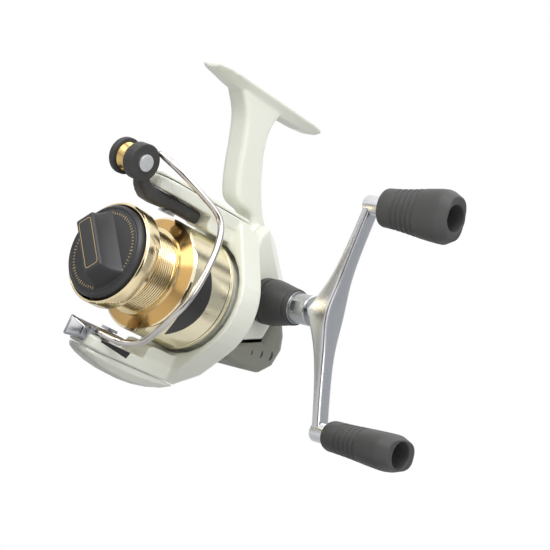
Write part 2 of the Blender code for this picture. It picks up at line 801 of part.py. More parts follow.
def lever_path():
    """The lever's middle line: level under the arm, then up past the arm's tip to the roller's hub."""
    level = lever_top() - LEVER_THICKNESS / 2
    hub_x = ROLLER_RIGHT + SEAT_GAP + HUB_WIDTH / 2
    rise = 0.3 * (ROLLER_HEIGHT - level)
    points = [
        Vector((0, LEVER_REAR - LEVER_EDGE, level)), Vector((0, BAIL_PIVOT, level)),
        Vector((0, ARM_TIP - LEVER_CLEAR, level)), Vector((0.6 * hub_x, ARM_TIP - LEVER_NECK, level + rise)),
        Vector((hub_x, ROLLER_Y, ROLLER_HEIGHT)),
    ]
    return smooth_path(points, 3)


def lever_section(point, ahead, half_wide, half_thick):
    """One ring of the lever: a rectangle with cut corners, square to the middle line."""
    side = Vector((1, 0, 0))
    side = (side - ahead * side.dot(ahead)).normalized()
    up = side.cross(ahead)
    wide, thick = half_wide - LEVER_EDGE, half_thick - LEVER_EDGE
    corners = [
        (half_wide, -thick), (half_wide, thick), (wide, half_thick), (-wide, half_thick),
        (-half_wide, thick), (-half_wide, -thick), (-wide, -half_thick), (wide, -half_thick),
    ]
    return [point + side * a + up * b for a, b in corners]


def make_bail_lever():
    path = lever_path()
    half_thick = LEVER_THICKNESS / 2
    back = Vector((0, -1, 0))
    end = path[0] + Vector((0, LEVER_EDGE, 0))
    rings = [lever_section(end, back, LEVER_HALF_WIDTH - LEVER_EDGE, half_thick - LEVER_EDGE)]
    for i, point in enumerate(path):
        ahead = (path[min(i + 1, len(path) - 1)] - path[max(i - 1, 0)]).normalized()
        share = (i / (len(path) - 1)) ** 3
        wide = LEVER_HALF_WIDTH + (0.43 * HUB_WIDTH - LEVER_HALF_WIDTH) * share
        rings.append(lever_section(point, ahead, wide, half_thick))
    lever = loft("bail_lever", rings)
    right = ROLLER_RIGHT + SEAT_GAP
    hub_at = (0, ROLLER_Y, ROLLER_HEIGHT)
    roller_room = HUB_RADIUS + RUN_GAP
    room = cylinder("room", "X", hub_at, -2 * LEVER_HALF_WIDTH, right, roller_room, ROUND_MEDIUM)
    lever = cut(lever, room)
    hub = cylinder("hub", "X", hub_at, right, right + HUB_WIDTH, HUB_RADIUS, ROUND_MEDIUM)
    lever = add(lever, rounded(hub, HUB_EDGE, angle=math.radians(60)))
    far = right + HUB_WIDTH + CUT_OVER
    lever = cut(lever, cylinder("pin", "X", hub_at, right - CUT_OVER, far, ROLLER_PIN_RADIUS + SEAT_GAP))
    top = lever_top() + CUT_OVER
    low = top - LEVER_THICKNESS - 2 * CUT_OVER
    return cut(lever, cylinder("pivot", "Z", (0, BAIL_PIVOT, 0), low, top, PIVOT_RADIUS + RUN_GAP))


def make_roller_pin():
    right = ROLLER_RIGHT + SEAT_GAP + HUB_WIDTH + SEAT_GAP
    left = ROLLER_RIGHT - ROLLER_WIDTH - SEAT_GAP - 0.8 * CAP_WIDTH
    profile = [
        (left, 0), (left, ROLLER_PIN_RADIUS), (right, ROLLER_PIN_RADIUS), (right, DISC_RADIUS),
        (right + DISC_HEIGHT, DISC_RADIUS), (right + DISC_HEIGHT, 0),
    ]
    return turned("roller_screw", profile, "X", (0, ROLLER_Y, ROLLER_HEIGHT), ROUND_SMALL)


def make_roller_cap():
    right = ROLLER_RIGHT - ROLLER_WIDTH - SEAT_GAP
    left = right - CAP_WIDTH
    hole = ROLLER_PIN_RADIUS + SEAT_GAP
    deep = left + 0.15 * CAP_WIDTH
    profile = [
        (right, hole), (right, HUB_RADIUS), (left + 0.3 * CAP_WIDTH, HUB_RADIUS),
        (left, 0.75 * HUB_RADIUS), (left, 0), (deep, 0), (deep, hole),
    ]
    return turned("roller_cap", profile, "X", (0, ROLLER_Y, ROLLER_HEIGHT), ROUND_MEDIUM)


def bush_outer():
    return ROLLER_PIN_RADIUS + SEAT_GAP + ROLLER_BUSH_WALL


def make_roller_bush():
    left = ROLLER_RIGHT - ROLLER_WIDTH
    return ring(
        "roller_bush", "X", (0, ROLLER_Y, ROLLER_HEIGHT), left, ROLLER_RIGHT,
        bush_outer(), ROLLER_PIN_RADIUS + SEAT_GAP, ROUND_SMALL,
    )


def make_line_roller():
    left = ROLLER_RIGHT - ROLLER_WIDTH
    inner = bush_outer() + RUN_GAP
    steps = 6
    profile = [(left, inner)]
    for i in range(steps + 1):
        share = i / steps
        dip = ROLLER_GROOVE * math.sin(math.pi * share)
        profile.append((left + ROLLER_WIDTH * share, ROLLER_RADIUS - dip))
    profile.append((ROLLER_RIGHT, inner))
    return turned("line_roller", profile, "X", (0, ROLLER_Y, ROLLER_HEIGHT), ROUND_MEDIUM)


def wire_route():
    """The wire's own points, from the lower holder round the side of the spool to the roller's hub."""
    hub = Vector((0, ROLLER_Y, ROLLER_HEIGHT))
    right = ROLLER_RIGHT + SEAT_GAP + HUB_WIDTH / 2
    low = -holder_middle()
    return [
        Vector((HOLDER_HALF_WIDTH + SEAT_GAP + 0.75 * WIRE_RADIUS, 6.6 * MM, low)),
        Vector((10.0 * MM, 13.4 * MM, low)),
        Vector((16.6 * MM, 16.2 * MM, low + 2.6 * MM)),
        Vector((22.6 * MM, 15.0 * MM, low + 7.6 * MM)),
        Vector((27.6 * MM, 14.2 * MM, -10.6 * MM)),
        Vector((30.4 * MM, 15.2 * MM, -2.6 * MM)),
        Vector((29.6 * MM, 17.6 * MM, 9.0 * MM)),
        Vector((26.6 * MM, 19.6 * MM, 20.0 * MM)),
        Vector((22.6 * MM, 18.6 * MM, 27.2 * MM)),
        Vector((17.8 * MM, 10.4 * MM, 31.6 * MM)),
        Vector((11.0 * MM, 2.0 * MM, 35.6 * MM)),
        hub + Vector((right, 0.75 * HUB_RADIUS, 0.75 * HUB_RADIUS + WIRE_RADIUS)),
    ]


def make_bail_wire():
    return tube("bail_wire", smooth_path(wire_route(), 3), WIRE_RADIUS, 8)


def holder_middle():
    return lever_top() - HOLDER_THICKNESS / 2


def make_bail_holder():
    top = lever_top()
    low = top - HOLDER_THICKNESS
    wide = HOLDER_HALF_WIDTH
    tail = 0.75 * wide
    outline = [
        (-0.8 * wide, HOLDER_TIP), (0.6 * wide, HOLDER_TIP + 0.17 * HOLDER_SLANT),
        (wide, HOLDER_TIP + HOLDER_SLANT), (wide, BAIL_PIVOT - 0.86 * HOLDER_SLANT),
        (tail, BAIL_PIVOT), (tail, HOLDER_TAIL - tail),
    ]
    steps = 6
    for i in range(1, steps):
        angle = math.pi * i / steps
        outline.append((tail * math.cos(angle), HOLDER_TAIL - tail + tail * math.sin(angle)))
    outline += [(-tail, HOLDER_TAIL - tail), (-tail, BAIL_PIVOT), (-wide, BAIL_PIVOT - 1.14 * HOLDER_SLANT)]
    holder = prism("bail_holder", outline, "Z", -top, -low)
    holder = rounded(holder, HOLDER_EDGE, angle=math.radians(60))
    holder = add(holder, make_holder_nose())
    ends = (-top - CUT_OVER, -low + CUT_OVER)
    return cut(holder, cylinder("pivot", "Z", (0, BAIL_PIVOT, 0), *ends, PIVOT_RADIUS + RUN_GAP))


def make_holder_nose():
    """The block in front of the lower arm's tip, where the wire comes out of the holder."""
    front = HOLDER_NOSE_FRONT
    back = ARM_TIP - RUN_GAP
    high = -(lever_top() - HOLDER_THICKNESS) + HOLDER_NOSE_RISE
    drop = high - HOLDER_NOSE_DROP
    wide = HOLDER_HALF_WIDTH - 0.5 * HOLDER_EDGE
    outline = [(back, high - HOLDER_NOSE_RISE - HOLDER_EDGE), (back, drop), (front + HOLDER_EDGE, drop),
               (front, drop + 0.25 * HOLDER_NOSE_DROP), (front + 0.4 * HOLDER_NOSE_DROP, high)]
    nose = prism("nose", outline, "X", -wide, wide)
    return rounded(nose, HOLDER_EDGE, angle=math.radians(30))


def make_pivot_screw(name, side):
    """A screw through an arm: its thread carries the bail, its head lies inside against the bail's end."""
    seat = lever_top() - (LEVER_THICKNESS if side > 0 else HOLDER_THICKNESS) - SEAT_GAP
    end = arm_outer() - SEAT_GAP
    profile = [
        (seat - PIVOT_HEAD_HEIGHT, 0), (seat - PIVOT_HEAD_HEIGHT, PIVOT_HEAD_RADIUS),
        (seat, PIVOT_HEAD_RADIUS), (seat, PIVOT_RADIUS), (end, PIVOT_RADIUS), (end, 0),
    ]
    profile = [(side * along, radius) for along, radius in profile]
    return turned(name, profile, "Z", (0, BAIL_PIVOT, 0), ROUND_SMALL)


# Body


def gearbox_outline(front=BODY_FRONT):
    return [
        (front, -10.8 * MM), (front, 30.0 * MM), (61.0 * MM, 34.0 * MM), (70.0 * MM, 31.5 * MM),
        (77.2 * MM, 26.6 * MM), (83.2 * MM, 19.6 * MM), (87.2 * MM, 6.8 * MM), (81.0 * MM, 4.0 * MM),
        (78.5 * MM, -4.5 * MM), (TAIL_FRONT - SEAT_GAP, -10.4 * MM),
    ]


def stem_outline():
    """The stem's side: it rises behind the rotor, curls over it and leans forward up to the foot."""
    front = [
        Vector((BODY_FRONT + 0.4 * MM, 26 * MM)), Vector((BODY_FRONT + 0.2 * MM, 35.4 * MM)),
        Vector((49.0 * MM, 37.4 * MM)), Vector((45.2 * MM, 41.0 * MM)), Vector((42.0 * MM, 49.0 * MM)),
        Vector((39.0 * MM, 60.0 * MM)), Vector((35.6 * MM, 68.6 * MM)), Vector((29.0 * MM, foot_under()))
    ]
    rear = [
        Vector((54.0 * MM, foot_under())), Vector((51.0 * MM, 69.0 * MM)), Vector((51.6 * MM, 60.0 * MM)),
        Vector((56.4 * MM, 48.0 * MM)), Vector((62.6 * MM, 38.2 * MM)), Vector((70.4 * MM, 31.2 * MM)),
        Vector((72.0 * MM, 26.0 * MM)),
    ]
    return smooth_path(front, 3) + smooth_path(rear, 3)


def foot_under():
    return FOOT_TOP - 0.6 * FOOT_THICKNESS


def make_foot():
    """The foot: a plate that thins and narrows towards both ends, flat on top."""
    length = FOOT_REAR - FOOT_FRONT
    rings = []
    for share in (0.0, 0.04, 0.18, 0.42, 0.62, 0.84, 0.96, 1.0):
        swell = math.sin(math.pi * share) ** 0.6
        wide = FOOT_HALF_WIDTH * (0.62 + 0.38 * min(1.0, 2.2 * swell))
        deep = FOOT_TIP_THICKNESS + (FOOT_THICKNESS - FOOT_TIP_THICKNESS) * swell
        y = FOOT_FRONT + share * length
        low = FOOT_TOP - deep
        side = FOOT_TOP - 0.5 * FOOT_TIP_THICKNESS
        ring_points = [
            (-wide, FOOT_TOP), (wide, FOOT_TOP), (wide, side), (0.45 * wide, low), (-0.45 * wide, low),
            (-wide, side),
        ]
        rings.append([Vector((x, y, z)) for x, z in ring_points])
    return loft("foot", rings)


def make_nose():
    """The boss that holds the clutch and bearing, on a flange that closes the rotor's rear."""
    rear = BODY_FRONT + NOSE_SUNK
    profile = [
        (NOSE_FRONT, 0), (NOSE_FRONT, NOSE_RADIUS), (FLANGE_FRONT, NOSE_RADIUS),
        (FLANGE_FRONT, FLANGE_RADIUS), (rear, FLANGE_RADIUS), (rear, 0),
    ]
    return turned("nose", profile, facets=ROUND_LARGE)


def make_body():
    body = prism("body_housing", gearbox_outline(), "X", -BODY_LEFT, BODY_RIGHT)
    body = rounded(body, BODY_BEVEL, angle=math.radians(60), keep=lambda co: co.x < -BODY_LEFT + CUT_OVER)
    stem = prism("stem", stem_outline(), "X", -STEM_HALF_WIDTH, STEM_HALF_WIDTH)
    stem = rounded(stem, STEM_EDGE, angle=math.radians(60))
    body = add(body, stem)
    body = add(body, make_foot())
    body = add(body, make_nose())
    for cutter in body_cutters():
        body = cut(body, cutter)
    return body


def clutch_rear():
    return NOSE_FRONT + SEAT_GAP + CLUTCH_LENGTH


def bearing_rear():
    return clutch_rear() + SEAT_GAP + BEARING_LENGTH


def face_gear_left():
    """The face of the drive gear's disc: its ribs reach from here into the pinion's gaps."""
    return PINION_TIP - FACE_MESH_DEPTH + FACE_RIB_HEIGHT


def gear_well():
    """Room for the drive gear's disc, open towards the side cover."""
    low = PINION_TIP - FACE_MESH_DEPTH - INNER_ROOM
    return cylinder("cut", "X", (0, AXLE_Y, AXLE_Z), low, BODY_RIGHT + 2 * CUT_OVER,
                    FACE_GEAR_RADIUS + INNER_ROOM, ROUND_LARGE)


def follower_well():
    """Room for the oscillation gear."""
    radius = SPUR_MODULE * (FOLLOWER_TEETH / 2 + 1) + INNER_ROOM
    low = -SPUR_LEFT - INNER_ROOM
    high = -SPUR_LEFT + SPUR_WIDTH + INNER_ROOM
    return cylinder("cut", "X", follower_centre(), low, high, radius, ROUND_MEDIUM)


def slider_reach():
    """Where the slider's rear end stands at the end of the spool's stroke."""
    return SLIDER_START + SLIDER_LENGTH + SPOOL_STROKE


def gallery_rear():
    return follower_centre()[1] + SPUR_MODULE * FOLLOWER_TEETH / 2


def body_cutters():
    """The room inside the body: bores for the pinion, the gear's round well and the slider's gallery."""
    axle = (0, AXLE_Y, AXLE_Z)
    room = INNER_ROOM
    right = BODY_RIGHT + 2 * CUT_OVER
    clutch = cylinder("cut", "Y", (0, 0, 0), NOSE_FRONT - CUT_OVER, clutch_rear() + SEAT_GAP,
                      CLUTCH_RADIUS + SEAT_GAP, ROUND_MEDIUM)
    bearing = cylinder("cut", "Y", (0, 0, 0), NOSE_FRONT, bearing_rear() + SEAT_GAP,
                       BEARING_RADIUS + SEAT_GAP, ROUND_MEDIUM)
    pinion = cylinder("cut", "Y", (0, 0, 0), NOSE_FRONT, PINION_REAR + room, PINION_TIP + 1.5 * RUN_GAP)
    spur = SPUR_MODULE * (DRIVER_TEETH / 2 + 1.2) + room
    driver = cylinder("cut", "X", axle, -SPUR_LEFT - 0.8 * room, right, spur, ROUND_MEDIUM)
    left_bearing = cylinder("cut", "X", axle, -BODY_LEFT - CUT_OVER, -SPUR_LEFT - 2 * room,
                            HANDLE_BEARING_RADIUS + SEAT_GAP, ROUND_MEDIUM)
    left_axle = cylinder("cut", "X", axle, -BODY_LEFT, 0, AXLE_RADIUS + 2 * RUN_GAP, ROUND_SMALL)
    gallery = box(
        "cut", (-SPUR_LEFT - 0.5 * room, PINION_REAR + 1.5 * room, -TAIL_LOW),
        (SLIDER_RIGHT + 0.7 * room, gallery_rear(), SLIDER_HALF_HEIGHT + 3 * room),
    )
    shaft = cylinder("cut", "Y", (0, 0, 0), PINION_REAR, SHAFT_REAR + 2 * SPOOL_STROKE,
                     SHAFT_RADIUS + 3 * RUN_GAP)
    slide = box(
        "cut", (-SLIDER_LEFT - room, PINION_REAR + 2 * room, -SLIDER_HALF_HEIGHT - room),
        (SLIDER_RIGHT + room, slider_reach() + room, SLIDER_HALF_HEIGHT + room),
    )
    pinion_side = [clutch, bearing, pinion]
    gear_side = [gear_well(), follower_well(), driver, left_bearing, left_axle]
    return pinion_side + gear_side + [gallery, shaft, slide]


def cover_left():
    return BODY_RIGHT + SEAT_GAP


def cover_right():
    return cover_left() + COVER_WIDTH


def make_side_cover():
    front = BODY_FRONT + NOSE_SUNK + SEAT_GAP
    cover = prism("side_cover", gearbox_outline(front), "X", cover_left(), cover_right())
    outer = cover_right() - CUT_OVER
    cover = rounded(cover, COVER_BEVEL, angle=math.radians(40), keep=lambda co: co.x > outer)
    axle = (0, AXLE_Y, AXLE_Z)
    left = cover_left() - CUT_OVER
    dish_end = cover_left() + 0.3 * COVER_WIDTH
    cover = cut(cover, cylinder("cut", "X", axle, left, dish_end, FACE_GEAR_RADIUS, ROUND_MEDIUM))
    seat_end = cover_right() - BODY_WALL
    seat_radius = HANDLE_BEARING_RADIUS + SEAT_GAP
    cover = cut(cover, cylinder("cut", "X", axle, left, seat_end, seat_radius, ROUND_MEDIUM))
    return cut(cover, cylinder("cut", "X", axle, left, cover_right() + CUT_OVER, AXLE_RADIUS + RUN_GAP))


def tail_outline(inset):
    """The tail cover's side, or its inside at a wall's distance."""
    top = -inset
    return [
        (TAIL_FRONT + inset, -TAIL_TOP + top), (78.8 * MM, -5.0 * MM + top),
        (81.4 * MM + inset, 3.6 * MM + top), (86.6 * MM, 6.0 * MM + top),
        (90.2 * MM - inset, 0.6 * MM), (91.8 * MM - inset, -5.0 * MM),
        (89.6 * MM - inset, -12.0 * MM + 0.4 * inset), (84.0 * MM - 0.6 * inset, -16.4 * MM + inset),
        (75.0 * MM, -TAIL_LOW + inset), (TAIL_FRONT + inset, -16.8 * MM + inset),
    ]


def make_tail_cover():
    cover = prism("tail_cover", tail_outline(0.0), "X", -TAIL_HALF_WIDTH, TAIL_HALF_WIDTH)
    cover = rounded(cover, TAIL_BEVEL, angle=math.radians(60), segments=3)
    half = TAIL_HALF_WIDTH - TAIL_WALL
    hollow = prism("cut", tail_outline(TAIL_WALL), "X", -half, half)
    cover = cut(cover, hollow)
    low = -TAIL_TOP - CUT_OVER
    mouth = box(
        "cut", (-SPUR_LEFT - 0.5 * INNER_ROOM, TAIL_FRONT + TAIL_WALL, low), (half, gallery_rear(), half)
    )
    cover = cut(cover, mouth)
    room = 1.5 * INNER_ROOM
    lane = box(
        "cut", (-SLIDER_LEFT - room, SLIDER_START, -SLIDER_HALF_HEIGHT - room),
        (SLIDER_RIGHT + room, slider_reach() + room, SLIDER_HALF_HEIGHT + room),
    )
    cover = cut(cover, lane)
    shaft_end = SHAFT_REAR + SPOOL_STROKE + 2 * room
    cover = cut(cover, cylinder("cut", "Y", (0, 0, 0), SLIDER_START, shaft_end, SHAFT_RADIUS + room))
    cover = cut(cover, gear_well())
    cover = cut(cover, follower_well())
    rod = cylinder("cut", "Y", (0, 0, -LEVER_AXIS_DROP), TAIL_FRONT - CUT_OVER, TAIL_FRONT + 3 * TAIL_WALL,
                   LEVER_ROD_RADIUS + RUN_GAP)
    cover = cut(cover, rod)
    for index in range(CRESCENTS):
        cover = cut(cover, crescent(index))
    return cover


def crescent(index):
    """A thumb mark on the tail's right side, bowed towards the rear, larger than the one before it."""
    y = CRESCENT_FRONT + index * CRESCENT_STEP
    z = -CRESCENT_DROP + index * CRESCENT_RISE
    radius = CRESCENT_RADIUS + index * CRESCENT_GROWTH
    steps = 6
    outer = [math.radians(-90 + 180 * i / steps) for i in range(steps + 1)]
    inner = outer[-2:0:-1]
    outline = [(y + radius * math.cos(a), z + radius * math.sin(a)) for a in outer]
    outline += [(y + 0.45 * radius * math.cos(a), z + radius * math.sin(a)) for a in inner]
    return prism("cut", outline, "X", TAIL_HALF_WIDTH - CRESCENT_DEPTH, TAIL_HALF_WIDTH + CUT_OVER)


def make_anti_reverse_lever():
    axis = (0, 0, -LEVER_AXIS_DROP)
    rear = TAIL_FRONT + LEVER_ROD_LENGTH
    lever = cylinder("anti_reverse_lever", "Y", axis, LEVER_TAB_FRONT + CUT_OVER, rear, LEVER_ROD_RADIUS)
    half = LEVER_TAB_HEIGHT / 2
    outline = [(-half, -half), (LEVER_TAB_LENGTH - half, -half)]
    steps = 6
    for i in range(1, steps):
        angle = math.radians(-90 + 180 * i / steps)
        outline.append((LEVER_TAB_LENGTH - half + half * math.cos(angle), half * math.sin(angle)))
    outline += [(LEVER_TAB_LENGTH - half, half), (-half, half)]
    outline = [(x, z - LEVER_AXIS_DROP) for x, z in outline]
    tab = prism("tab", outline, "Y", LEVER_TAB_FRONT, LEVER_TAB_FRONT + LEVER_TAB_DEPTH)
    lever = add(lever, rounded(tab, LEVER_TAB_EDGE, segments=1, angle=math.radians(60)))
    centre = (LEVER_TAB_LENGTH - half, 0, -LEVER_AXIS_DROP)
    hole = cylinder("cut", "Y", centre, LEVER_TAB_FRONT - CUT_OVER, LEVER_TAB_FRONT + 0.6 * LEVER_TAB_DEPTH,
                    LEVER_HOLE_RADIUS, 12)
    return cut(lever, hole)


def make_pinion_rings():
    """The one-way clutch and the bearing that the pinion turns in, front to back."""
    hole = PINION_TIP + RUN_GAP
    front = NOSE_FRONT + SEAT_GAP
    clutch = ring("one_way_clutch", "Y", (0, 0, 0), front, clutch_rear(), CLUTCH_RADIUS, hole)
    front = clutch_rear() + SEAT_GAP
    bearing = ring("pinion_bearing", "Y", (0, 0, 0), front, bearing_rear(), BEARING_RADIUS, hole)
    return clutch, bearing


def make_handle_bearings():
    axle = (0, AXLE_Y, AXLE_Z)
    hole = AXLE_RADIUS + RUN_GAP
    right = cover_right() - BODY_WALL - SEAT_GAP
    near = ring("handle_bearing_right", "X", axle, right - HANDLE_BEARING_WIDTH, right,
                HANDLE_BEARING_RADIUS, hole)
    left = -BODY_LEFT + BODY_WALL
    far = ring("handle_bearing_left", "X", axle, left, left + HANDLE_BEARING_WIDTH,
               HANDLE_BEARING_RADIUS, hole)
    return near, far


def make_left_cap():
    axle = (0, AXLE_Y, AXLE_Z)
    right = -BODY_LEFT - SEAT_GAP
    left = right - LEFT_CAP_HEIGHT
    edge = 0.4 * LEFT_CAP_HEIGHT
    profile = [(left, 0), (left, LEFT_CAP_RADIUS - edge), (left + edge, LEFT_CAP_RADIUS),
               (right, LEFT_CAP_RADIUS), (right, 0)]
    cap = turned("left_screw_cap", profile, "X", axle, ROUND_MEDIUM)
    long = LEFT_CAP_SLOT_LENGTH / 2
    wide = LEFT_CAP_SLOT_WIDTH / 2
    low = (left - CUT_OVER, AXLE_Y - long, AXLE_Z - wide)
    high = (left + edge, AXLE_Y + long, AXLE_Z + wide)
    return cut(cap, box("cut", low, high))


# Gears on the handle's axle


def make_drive_gear():
    """The axle with the face gear's disc on it, and the small gear that drives the oscillation gear."""
    axle = (0, AXLE_Y, AXLE_Z)
    left = face_gear_left()
    rib_side = left + FACE_GEAR_WIDTH
    start = -BODY_LEFT + 0.5 * BODY_WALL
    end = cover_right() + COLLAR_LENGTH
    profile = [
        (start, 0), (start, AXLE_RADIUS), (left, AXLE_RADIUS), (left, FACE_GEAR_RADIUS),
        (rib_side, FACE_GEAR_RADIUS), (rib_side, AXLE_RADIUS), (end, AXLE_RADIUS), (end, 0),
    ]
    gear = turned("drive_gear", profile, "X", axle, ROUND_LARGE)
    ribs = bmesh.new()
    near = FACE_MESH_Y - FACE_RIB_LENGTH / 2
    far = FACE_MESH_Y + FACE_RIB_LENGTH / 2
    half = FACE_RIB_WIDTH / 2
    low = left - FACE_RIB_HEIGHT
    high = left + 0.3 * FACE_GEAR_WIDTH
    for i in range(FACE_TEETH):
        turn = Matrix.Rotation(math.tau * i / FACE_TEETH, 4, "X")
        made = bmesh.ops.create_cube(ribs, size=1.0)["verts"]
        size = Matrix.Diagonal((high - low, far - near, 2 * half, 1.0))
        place = Matrix.Translation(((low + high) / 2, -FACE_MESH_Y, -AXLE_Z))
        bmesh.ops.transform(ribs, matrix=Matrix.Translation(axle) @ turn @ place @ size, verts=made)
    gear = add(gear, object_from("ribs", ribs))
    pitch = SPUR_MODULE * DRIVER_TEETH / 2
    outline = gear_outline(DRIVER_TEETH, pitch - 1.1 * SPUR_MODULE, pitch + 0.8 * SPUR_MODULE,
                           1.1 * SPUR_MODULE, FOLLOWER_DROP)
    outline = [(AXLE_Y + y, AXLE_Z + z) for y, z in outline]
    return add(gear, prism("driver", outline, "X", -SPUR_LEFT, -SPUR_LEFT + SPUR_WIDTH))


def follower_centre():
    reach = SPUR_MODULE * (DRIVER_TEETH + FOLLOWER_TEETH) / 2 + RUN_GAP / 2
    return (0, AXLE_Y + reach * math.cos(FOLLOWER_DROP), AXLE_Z + reach * math.sin(FOLLOWER_DROP))


def make_oscillation_gear():
    _, y, z = follower_centre()
    pitch = SPUR_MODULE * FOLLOWER_TEETH / 2
    first = FOLLOWER_DROP + math.pi + math.pi / FOLLOWER_TEETH
    outline = gear_outline(FOLLOWER_TEETH, pitch - 1.1 * SPUR_MODULE, pitch + 0.8 * SPUR_MODULE,
                           1.1 * SPUR_MODULE, first)
    outline = [(y + a, z + b) for a, b in outline]
    gear = prism("oscillation_gear", outline, "X", -SPUR_LEFT, -SPUR_LEFT + SPUR_WIDTH)
    hole = cylinder("cut", "X", (0, y, z), -SPUR_LEFT - CUT_OVER, -SPUR_LEFT + SPUR_WIDTH + CUT_OVER,
                    FOLLOWER_PIN_RADIUS + RUN_GAP, 12)
    return cut(gear, hole)


def make_oscillation_pin():
    """The fixed stud that the oscillation gear turns on, pressed into the body's left wall."""
    low = -SPUR_LEFT - INNER_ROOM + SEAT_GAP
    return cylinder("oscillation_stud", "X", follower_centre(), low, -SPUR_LEFT + SPUR_WIDTH,
                    FOLLOWER_PIN_RADIUS, 12)


# Handle


def collar_right():
    return cover_right() + SEAT_GAP + COLLAR_LENGTH


def make_collar():
    axle = (0, AXLE_Y, AXLE_Z)
    left = cover_right() + SEAT_GAP
    hole = AXLE_RADIUS + RUN_GAP
    edge = 0.4 * COLLAR_LENGTH
    profile = [(left, hole), (left, COLLAR_RADIUS - edge), (left + edge, COLLAR_RADIUS),
               (collar_right(), COLLAR_RADIUS), (collar_right(), hole)]
    return turned("handle_collar", profile, "X", axle, ROUND_MEDIUM)


def sleeve_right():
    return collar_right() + RUN_GAP + SLEEVE_LENGTH


def make_sleeve():
    left = collar_right() + RUN_GAP
    inner = SHANK_RADIUS + SEAT_GAP
    edge = SLEEVE_EDGE
    profile = [(left, inner), (left, COLLAR_RADIUS - edge), (left + edge, COLLAR_RADIUS),
               (left + 0.3 * SLEEVE_LENGTH, COLLAR_RADIUS - edge),
               (sleeve_right() - edge, SLEEVE_END_RADIUS), (sleeve_right(), SLEEVE_END_RADIUS - edge),
               (sleeve_right(), inner)]
    return turned("handle_sleeve", profile, "X", (0, AXLE_Y, AXLE_Z), ROUND_MEDIUM)


def shank_right():
    return sleeve_right() + SHANK_LENGTH


def make_shank():
    axle = (0, AXLE_Y, AXLE_Z)
    left = collar_right() + RUN_GAP
    shank = cylinder("handle_shank", "X", axle, left, shank_right(), SHANK_RADIUS, ROUND_MEDIUM)
    low = sleeve_right() + 0.1 * SHANK_LENGTH
    high = sleeve_right() + 0.6 * SHANK_LENGTH
    slot = box(
        "cut", (low, AXLE_Y - SHANK_RADIUS - CUT_OVER, AXLE_Z - SHANK_SLOT_WIDTH / 2),
        (high, AXLE_Y - SHANK_RADIUS + SHANK_SLOT_DEPTH, AXLE_Z + SHANK_SLOT_WIDTH / 2),
    )
    return cut(shank, slot)


def boss_left():
    return shank_right() + SEAT_GAP + ARM_OFFSET


def boss_right():
    return boss_left() + ARM_BOSS_LENGTH


def make_handle_arm():
    """Two arms from one hub: each tapers and sweeps outwards to a round boss."""
    left = shank_right() + SEAT_GAP
    hub_middle = left + HANDLE_HUB_LENGTH / 2
    tip_middle = boss_left() + 0.15 * ARM_BOSS_LENGTH
    shares = (-1.0, -0.85, -0.6, -0.35, -0.15, 0.0, 0.15, 0.35, 0.6, 0.85, 1.0)
    rings = []
    for share in shares:
        sweep = abs(share) ** 1.4
        taper = math.sqrt(abs(share))
        x = hub_middle + (tip_middle - hub_middle) * sweep
        deep = (HANDLE_HUB_LENGTH + (HANDLE_TIP_LENGTH - HANDLE_HUB_LENGTH) * taper) / 2
        wide = (HANDLE_HUB_WIDTH + (HANDLE_TIP_WIDTH - HANDLE_HUB_WIDTH) * taper) / 2
        corner = 0.45 * min(deep, wide)
        section = [
            (-deep + corner, -wide), (deep - corner, -wide), (deep, -wide + corner), (deep, wide - corner),
            (deep - corner, wide), (-deep + corner, wide), (-deep, wide - corner), (-deep, -wide + corner),
        ]
        z = share * ARM_REACH
        rings.append([Vector((x + a, AXLE_Y + b, AXLE_Z + z)) for a, b in section])
    arm = loft("handle_arm", rings)
    for side in (1, -1):
        centre = (0, AXLE_Y, AXLE_Z + side * ARM_REACH)
        boss = cylinder("boss", "X", centre, boss_left(), boss_right(), ARM_BOSS_RADIUS, ROUND_SMALL)
        arm = add(arm, boss)
        hole = cylinder("cut", "X", centre, boss_right() - 0.7 * ARM_BOSS_LENGTH, boss_right() + CUT_OVER,
                        SPINDLE_RADIUS + SEAT_GAP, 12)
        arm = cut(arm, hole)
    return arm


def grip_left():
    return boss_right() + RUN_GAP


def oval(centre, x, half_wide, half_high):
    _, y, z = centre
    return [Vector((x, y + half_wide * a, z + half_high * b)) for a, b in circle_points(1.0, ROUND_GRIP)]


def make_grip(name, side, wide_along_y):
    """A soft grip: oval, flaring outwards, ringed near its root and bored at its outer end."""
    centre = (0, AXLE_Y, AXLE_Z + side * ARM_REACH)
    root = grip_left()
    stations = [(0.0, -0.8), (0.03, 0.0)]
    first, last = 0.2, 0.56
    for i in range(GRIP_RIBS):
        middle = first + (last - first) * i / (GRIP_RIBS - 1)
        stations += [(middle - 0.024, 0.0), (middle, -1.0), (middle + 0.024, 0.0)]
    stations += [(0.84, 0.0), (0.95, -0.5), (1.0, -2.8)]
    rings = []
    for share, pinch in stations:
        wide = GRIP_WIDE_ROOT + (GRIP_WIDE_END - GRIP_WIDE_ROOT) * share + pinch * GRIP_GROOVE
        slim = GRIP_SLIM_ROOT + (GRIP_SLIM_END - GRIP_SLIM_ROOT) * share + pinch * GRIP_GROOVE
        half = (wide, slim) if wide_along_y else (slim, wide)
        rings.append(oval(centre, root + share * GRIP_LENGTH, *half))
    end = root + GRIP_LENGTH
    floor = end - GRIP_BORE_DEPTH
    hole = SPINDLE_RADIUS + RUN_GAP
    for x, radius in ((end, GRIP_BORE_RADIUS), (floor, GRIP_BORE_RADIUS), (floor, hole), (root, hole)):
        rings.append(oval(centre, x, radius, radius))
    return loft(name, rings, closed=True)


